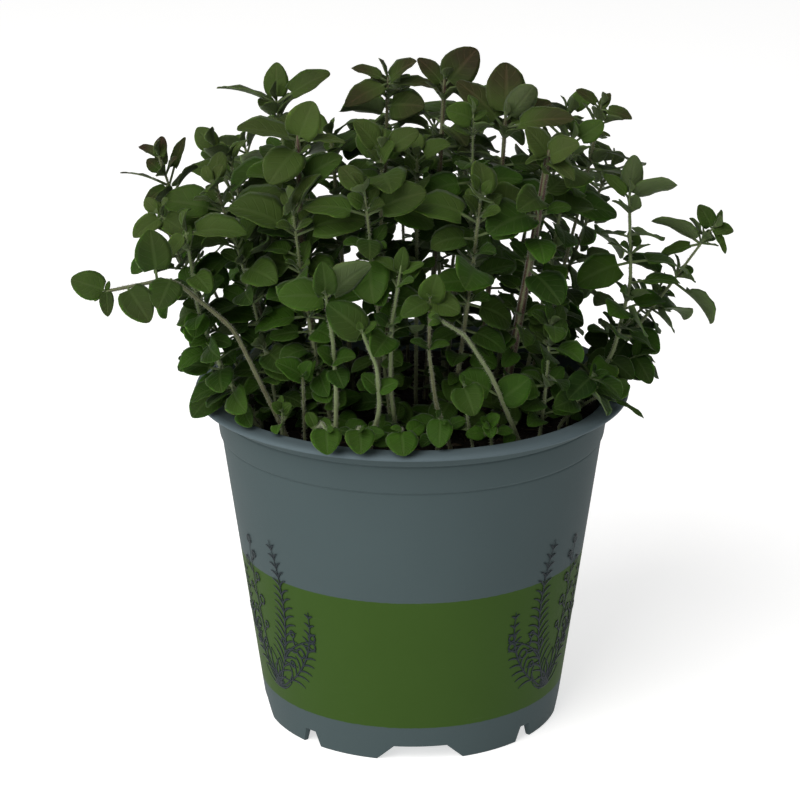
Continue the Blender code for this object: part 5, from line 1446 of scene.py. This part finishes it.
def drill(piece, rods):
    """Takes rods out of a piece and applies the cut."""
    group = bpy.data.collections.new("drills")
    bpy.context.scene.collection.children.link(group)
    for tool in rods:
        bpy.context.scene.collection.objects.unlink(tool)
        group.objects.link(tool)
    cut = piece.modifiers.new("drains", "BOOLEAN")
    cut.operation = "DIFFERENCE"
    cut.operand_type = "COLLECTION"
    cut.collection = group
    cut.solver = "EXACT"
    graph = bpy.context.evaluated_depsgraph_get()
    mesh = bpy.data.meshes.new_from_object(piece.evaluated_get(graph))
    piece.modifiers.clear()
    piece.data = mesh
    for tool in rods:
        bpy.data.objects.remove(tool, do_unlink=True)
    bpy.data.collections.remove(group)
    mesh.shade_smooth()
    mesh.set_sharp_from_angle(angle=SHARP_ANGLE)


# Line drawing on the pot's wall: toothed fronds, berry sprays and open leaves, drawn with strokes of ink

INK_WIDTH = 0.00066
INK_PROUD = 0.00006
INK_LIFT = 0.00002
STROKE_STATIONS = 9
LOOP_STATIONS = 13
DRAWING_FOOT = 0.0165
# The four bunches: name, turn about the pot in degrees, and whether it is mirrored
BUNCHES = (("left", -57, False), ("right", 57, True), ("back_right", 123, False), ("back_left", -123, True))
# Foot in metres across and up, way in degrees from level, length, bow; then the pairs and reach of a frond's
# teeth, or the number of a spray's berries
FRONDS = (
    ((0.0005, 0.0), 84, 0.050, -0.10, 15, 0.0085),
    ((-0.0020, 0.001), 112, 0.036, 0.12, 11, 0.0070),
    ((0.0030, 0.0005), 62, 0.033, -0.14, 10, 0.0065),
)
SPRAYS = (
    ((-0.0008, 0.001), 98, 0.044, 0.06, 7),
    ((0.0018, 0.0), 50, 0.026, 0.16, 5),
    ((-0.0026, 0.0), 132, 0.024, -0.14, 5),
)
OPEN_LEAF_WAYS = (20, 38, 76, 104, 142, 160)
TOOTH_TURN = 52
STALK_TURN = 48


def heading(way):
    """Direction across and up, from degrees above level."""
    return np.array([math.cos(math.radians(way)), math.sin(math.radians(way))])


def arc(start, way, length, bow):
    """A stroke from start, along way in degrees, that bows to its left by a share of its length."""
    t = np.linspace(0, 1, STROKE_STATIONS)[:, None]
    ahead = heading(way)
    left = np.array([-ahead[1], ahead[0]])
    return np.array(start) + length * (t * ahead + bow * 4 * t * (1 - t) * left)


def loop(centre, radius):
    turn = np.linspace(0, 2 * math.pi, LOOP_STATIONS)[:, None]
    return np.array(centre) + radius * np.concatenate([np.cos(turn), np.sin(turn)], axis=1)


def point_on(stroke, t):
    return np.array([np.interp(t, np.linspace(0, 1, len(stroke)), stroke[:, i]) for i in range(2)])


def frond(foot, way, length, bow, pairs, reach):
    """A bowed spine with pairs of short bowed strokes that shorten towards its tip."""
    spine = arc(foot, way, length, bow)
    strokes = [spine]
    for k in range(pairs):
        t = 0.14 + 0.80 * k / (pairs - 1)
        place = point_on(spine, t)
        ahead = spine[min(STROKE_STATIONS - 1, int(t * STROKE_STATIONS) + 1)] - place
        angle = math.degrees(math.atan2(ahead[1], ahead[0]))
        for side in (1, -1):
            strokes.append(arc(place, angle + side * TOOTH_TURN, reach * (1 - 0.75 * t), side * -0.14))
    return strokes


def berry_spray(foot, way, length, bow, berries):
    """A thin stem with berries on short stalks to either side and one at its end."""
    spine = arc(foot, way, length, bow)
    strokes = [spine]
    for k in range(berries):
        side = 1 if k % 2 else -1
        turn = way + side * STALK_TURN
        stalk = arc(point_on(spine, 0.35 + 0.60 * k / berries), turn, 0.0030, side * 0.10)
        radius = 0.00095 + 0.00025 * ((k * 7) % 3)
        strokes += [stalk, loop(stalk[-1] + heading(turn) * radius, radius)]
    strokes.append(loop(spine[-1] + np.array([0, 0.0012]), 0.0012))
    return strokes


def open_leaf(foot, way, length, width):
    """A leaf in outline: two strokes that meet at its tip, and a short midrib."""
    return [arc(foot, way, length, width), arc(foot, way, length, -width), arc(foot, way, length * 0.6, 0.03)]


def drawing():
    """One bunch, in metres across and up from its foot on the wall."""
    strokes = [stroke for facts in FRONDS for stroke in frond(*facts)]
    strokes += [stroke for facts in SPRAYS for stroke in berry_spray(*facts)]
    for k, way in enumerate(OPEN_LEAF_WAYS):
        strokes += open_leaf(((k - 2.5) * 0.0012, -0.0008), way, 0.0105 + 0.0020 * (k % 2), 0.16)
    return strokes


def ink_surface(strokes, turn, mirror):
    """Strokes wrapped on the tapered wall as slim lens-shaped ridges, closed at both ends.

    Across goes to the turn turn + across / radius, up goes to the height DRAWING_FOOT + up.
    """
    parts = []
    for stroke in strokes:
        ahead = unit_rows(np.gradient(stroke, axis=0))
        left = np.stack([-ahead[:, 1], ahead[:, 0]], axis=-1)
        share = np.linspace(0, 1, len(stroke))
        press = 0.30 + 0.70 * np.sin(math.pi * np.clip(share * 0.86 + 0.10, 0, 1))
        if np.allclose(stroke[0], stroke[-1]):
            press = np.ones_like(share)
        edge = left * (0.5 * INK_WIDTH * press)[:, None]
        flat = np.stack([stroke + edge, stroke, stroke - edge, stroke], axis=1)
        height = DRAWING_FOOT + flat[..., 1]
        radius = wall_radius(height) + np.array([0.0, INK_PROUD, 0.0, -INK_PROUD]) + INK_LIFT
        angle = turn + (-1 if mirror else 1) * flat[..., 0] / radius
        points = np.stack([radius * np.sin(angle), -radius * np.cos(angle), height], axis=-1).reshape(-1, 3)
        faces = tube_faces(len(stroke), 4)
        parts.append({"points": points, "faces": faces if mirror else turned_inside_out(faces), "finish": 0})
    return parts


# Compost

SOIL_TURNS = 150
SOIL_CIRCLES = 52
SOIL_REACH = 0.0564
HUMMOCK = 0.0007
# Crumbs and bark chips: how many, finish, least and greatest size, and how they are stretched
LUMPS = (
    (1100, 0, 0.0004, 0.0016, (1.0, 0.85, 0.7)),
    (70, 1, 0.0010, 0.0022, (1.9, 0.8, 0.35)),
)
LUMP_REACH = 0.0545
FIBRES = 60
FIBRE_REACH = 0.050
FIBRE_STATIONS = 8


def soil_height(x, y):
    """Low dome with hummocks: a sum of sines of unrelated wavelengths."""
    r = np.hypot(x, y) / SOIL_REACH
    bumps = (
        0.55 * np.sin(x * 620 + 1.3) * np.sin(y * 540 + 0.4)
        + 0.35 * np.sin(x * 1310 + y * 900)
        + 0.25 * np.sin(x * 2300 - y * 1900 + 2.0)
        + 0.20 * np.sin(y * 3700 + x * 2900)
    )
    return SOIL_RIM + SOIL_DOME * (1 - r**2) + HUMMOCK * bumps * np.clip((1 - r) * 12, 0, 1)


def soil_surface():
    """The compost as one closed skin: circles over the hummocky top, then down the wall to its underside."""
    reach = wall_radius(SOIL_RIM) - WALL - 0.0009 - FIT_GAP
    foot = wall_radius(FLOOR_TOP) - WALL - 0.0016 - FIT_GAP
    bottom = FLOOR_TOP + FIT_GAP
    top = reach * np.sqrt(np.linspace(0.0004, 1, SOIL_CIRCLES))
    flat = top[:, None, None] * circle(SOIL_TURNS)
    rings = [np.concatenate([flat, soil_height(flat[..., 0], flat[..., 1])[..., None]], axis=-1)]
    for radius, height in ((foot + 0.0006, bottom + 0.0016), (foot, bottom)):
        rings.append(np.column_stack([radius * circle(SOIL_TURNS), np.full(SOIL_TURNS, height)])[None])
    rings = np.concatenate(rings)
    faces = turned_inside_out(tube_faces(len(rings), SOIL_TURNS))
    return {"points": rings.reshape(-1, 3), "faces": faces, "finish": 0}


def round_lump():
    """Points and triangles of an octahedron whose edges are halved and brought out onto the sphere."""
    corners = np.array([[1, 0, 0], [0, 1, 0], [-1, 0, 0], [0, -1, 0], [0, 0, 1], [0, 0, -1]], float)
    sides = [(0, 1, 4), (1, 2, 4), (2, 3, 4), (3, 0, 4), (1, 0, 5), (2, 1, 5), (3, 2, 5), (0, 3, 5)]
    edges = sorted({tuple(sorted(pair)) for side in sides for pair in zip(side, side[1:] + side[:1])})
    halves = unit_rows(np.array([corners[a] + corners[b] for a, b in edges]))
    faces = []
    for a, b, c in sides:
        ab, bc, ca = (len(corners) + edges.index(tuple(sorted(pair))) for pair in ((a, b), (b, c), (c, a)))
        faces += [(a, ab, ca), (b, bc, ab), (c, ca, bc), (ab, bc, ca)]
    return np.concatenate([corners, halves]), np.array(faces)


def spun(points, angles, first, second):
    """Each row of points turned by its own angle in the plane of two axes."""
    cos_a, sin_a = np.cos(angles)[:, None], np.sin(angles)[:, None]
    result = points.copy()
    result[..., first] = points[..., first] * cos_a - points[..., second] * sin_a
    result[..., second] = points[..., first] * sin_a + points[..., second] * cos_a
    return result


def scatter_crumbs(draw):
    """Crumbs: round lumps of uneven size and shape, half sunk, flattened and turned at random."""
    ball, faces = round_lump()
    parts = []
    for count, finish, low, high, stretch in LUMPS:
        reach = LUMP_REACH * np.sqrt(draw.uniform(0, 1, count))
        turn = draw.uniform(0, 2 * math.pi, count)
        x, y = reach * np.cos(turn), reach * np.sin(turn)
        size = low + (high - low) * draw.uniform(0, 1, count) ** 2.2
        lump = ball[None] * (1 + draw.uniform(-0.28, 0.28, (count, len(ball), 1))) * np.array(stretch)
        lump = spun(lump, draw.uniform(0, 2 * math.pi, count), 0, 1)
        lump = spun(lump, draw.uniform(-0.5, 0.5, count), 0, 2)
        base = np.stack([x, y, soil_height(x, y) + size * 0.25], axis=-1)
        points = (base[:, None] + lump * size[:, None, None]).reshape(-1, 3)
        all_faces = (faces[None] + len(ball) * np.arange(count)[:, None, None]).reshape(-1, 3)
        parts.append({"points": points, "faces": all_faces.tolist(), "finish": finish})
    return parts


def fibre_surface(draw):
    """Peat fibres: thin tubes of four sides along gently wandering lines that lie on the compost."""
    parts = []
    t = np.linspace(-0.5, 0.5, FIBRE_STATIONS)
    for _ in range(FIBRES):
        reach, turn = FIBRE_REACH * math.sqrt(draw.uniform()), draw.uniform(0, 2 * math.pi)
        length, way, bow = draw.uniform(0.004, 0.011), draw.uniform(0, math.pi), draw.uniform(-0.3, 0.3)
        x = reach * math.cos(turn) + length * (t * math.cos(way) - bow * t**2 * math.sin(way))
        y = reach * math.sin(turn) + length * (t * math.sin(way) + bow * t**2 * math.cos(way))
        z = soil_height(x, y) + 0.0004 + 0.0012 * draw.uniform() * (0.25 - t**2) * 4
        line = np.stack([x, y, z], axis=-1)
        ahead = unit_rows(np.gradient(line, axis=0))
        level = unit_rows(np.stack([-ahead[:, 1], ahead[:, 0], 0 * t], axis=-1))
        up = np.cross(ahead, level)
        cos_a, sin_a = circle(4).T[..., None]
        ring = line[:, None] + draw.uniform(0.00012, 0.00026) * (level[:, None] * cos_a + up[:, None] * sin_a)
        parts.append({"points": ring.reshape(-1, 3), "faces": tube_faces(FIBRE_STATIONS, 4), "finish": 1})
    return parts


# Stage

FLOOR_SIDES = 64
FLOOR_RADII = (0.4, 2.0, 12.0)
FLOOR_GLOW = 0.64
WORLD_LIGHT = 0.22
# Place, size, power and colour of the lights, and the height that they face
LIGHTS = {
    "key": ((-0.80, -1.00, 1.15), 1.5, 34.0, (1.0, 0.985, 0.96)),
    "top": ((0.0, 0.10, 1.70), 2.0, 4.0, (1.0, 1.0, 1.0)),
}
AIM_HEIGHT = 0.11
CAMERA_PLACE = (0.0, -0.8567, 0.3933)
CAMERA_DOWN = 19.034
CAMERA_LENS = 135.75
CAMERA_SHIFT = -0.01498


def add_to_scene(name, data, place, rotation):
    obj = bpy.data.objects.new(name, data)
    bpy.context.scene.collection.objects.link(obj)
    obj.location = place
    obj.rotation_euler = rotation
    return obj


def make_floor():
    """A wide round pale floor: circles of growing radius at height 0."""
    flat = np.column_stack([circle(FLOOR_SIDES), np.zeros(FLOOR_SIDES)])
    points = np.concatenate([radius * flat for radius in FLOOR_RADII])
    faces = turned_inside_out(tube_faces(len(FLOOR_RADII), FLOOR_SIDES)[:-1])
    glow = {"Emission Color": rgb(1.0, 1.0, 1.0), "Emission Strength": FLOOR_GLOW}
    part = {"points": points, "faces": faces, "finish": 0}
    floor = make_piece("floor", [part], [grainy_material("pale_floor", glow)])


def make_light():
    """Even light all round, and square soft lights that face the plant's middle."""
    world = bpy.data.worlds.new("studio")
    bpy.context.scene.world = world
    world.use_nodes = True
    background = world.node_tree.nodes["Background"]
    background.inputs["Color"].default_value = rgb(1.0, 1.0, 1.0)
    background.inputs["Strength"].default_value = WORLD_LIGHT
    for name, (place, size, power, colour) in LIGHTS.items():
        light = bpy.data.lights.new(name, "AREA")
        light.size = size
        light.energy = power
        light.color = colour
        aim = np.array([0.0, 0.0, AIM_HEIGHT]) - np.array(place)
        tilt = math.acos(-aim[2] / np.linalg.norm(aim))
        add_to_scene(name, light, place, (tilt, 0, math.atan2(aim[1], aim[0]) - math.pi / 2))


def make_camera():
    camera = bpy.data.cameras.new("camera")
    camera.lens = CAMERA_LENS
    camera.sensor_width = 36.0
    camera.shift_x = CAMERA_SHIFT
    camera.clip_start = 0.05
    rotation = (math.radians(90 - CAMERA_DOWN), 0, 0)
    bpy.context.scene.camera = add_to_scene("camera", camera, CAMERA_PLACE, rotation)


# Dress the frame


def dress_pot():
    pot = make_piece("printed_pot", [pot_surface()], [pot_material()], SHARP_ANGLE)
    drill(pot, drain_rods())
    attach(pot, "root")
    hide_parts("pot")
    ink = grainy_material("dark_blue_green_ink")
    strokes = drawing()
    for name, turn, mirror in BUNCHES:
        bunch = make_piece(f"line_drawing_{name}", ink_surface(strokes, math.radians(turn), mirror), [ink])
        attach(bunch, "root")


def dress_compost(draw):
    parts = [soil_surface(), *scatter_crumbs(draw), *fibre_surface(draw)]
    finishes = [grainy_material("damp_peat_and_painted_shade"), grainy_material("bark_and_fibre")]
    compost = make_piece("loose_compost", parts, finishes)
    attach(compost, "root")
    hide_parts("compost")


def leaf_tone(shoot, leaf, flush, light, draw):
    """Flush, lightness and youth. Flush and youth fade down the stem, lightness varies from leaf to leaf."""
    fade = between(leaf["frame"][0][2] - shoot["tip"][2], -FLUSH_REACH, 0.0)
    light = between(leaf.get("lightness", light) + draw.uniform(-LIGHT_SPREAD, LIGHT_SPREAD), 0.0, 1.0)
    young = fade**2 * between(shoot["tip"][2], *YOUNG_HEIGHTS) * draw.uniform(0.4, 1.0)
    return flush * fade, light, young


def dress_shoots(draw):
    shoots = grow_plant()
    add_fine_leaves(shoots, draw)
    finishes = [leaf_material(), stem_material(), grainy_material("oregano_hair")]
    for number, shoot in enumerate(shoots, 1):
        drawn = (draw.uniform(0, 0.30), draw.uniform(0.30, 0.70), draw.uniform(0.1, 0.7))
        flush, light, brown = SHOOT_TONES.get(shoot["name"], drawn)
        parts = [stem_surface(shoot, brown)]
        for leaf in shoot["leaves"]:
            shares = BUD_SHARES if leaf["length"] < BUD_LENGTH else BLADE_SHARES
            parts.append(leaf_surface(leaf, shares, leaf_tone(shoot, leaf, flush, light, draw), draw))
        parts.append(hair_surface(shoot, draw))
        piece = make_piece(f"oregano_shoot_{number:02d}", parts, finishes)
        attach(piece, "root")
        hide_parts(f"leafy_stem_{number:02d}")


def main():
    draw = np.random.default_rng(FINE_SEED)
    bpy.context.scene.view_settings.view_transform = "Standard"
    make_camera()
    make_light()
    make_floor()
    dress_pot()
    dress_compost(draw)
    dress_shoots(draw)


main()
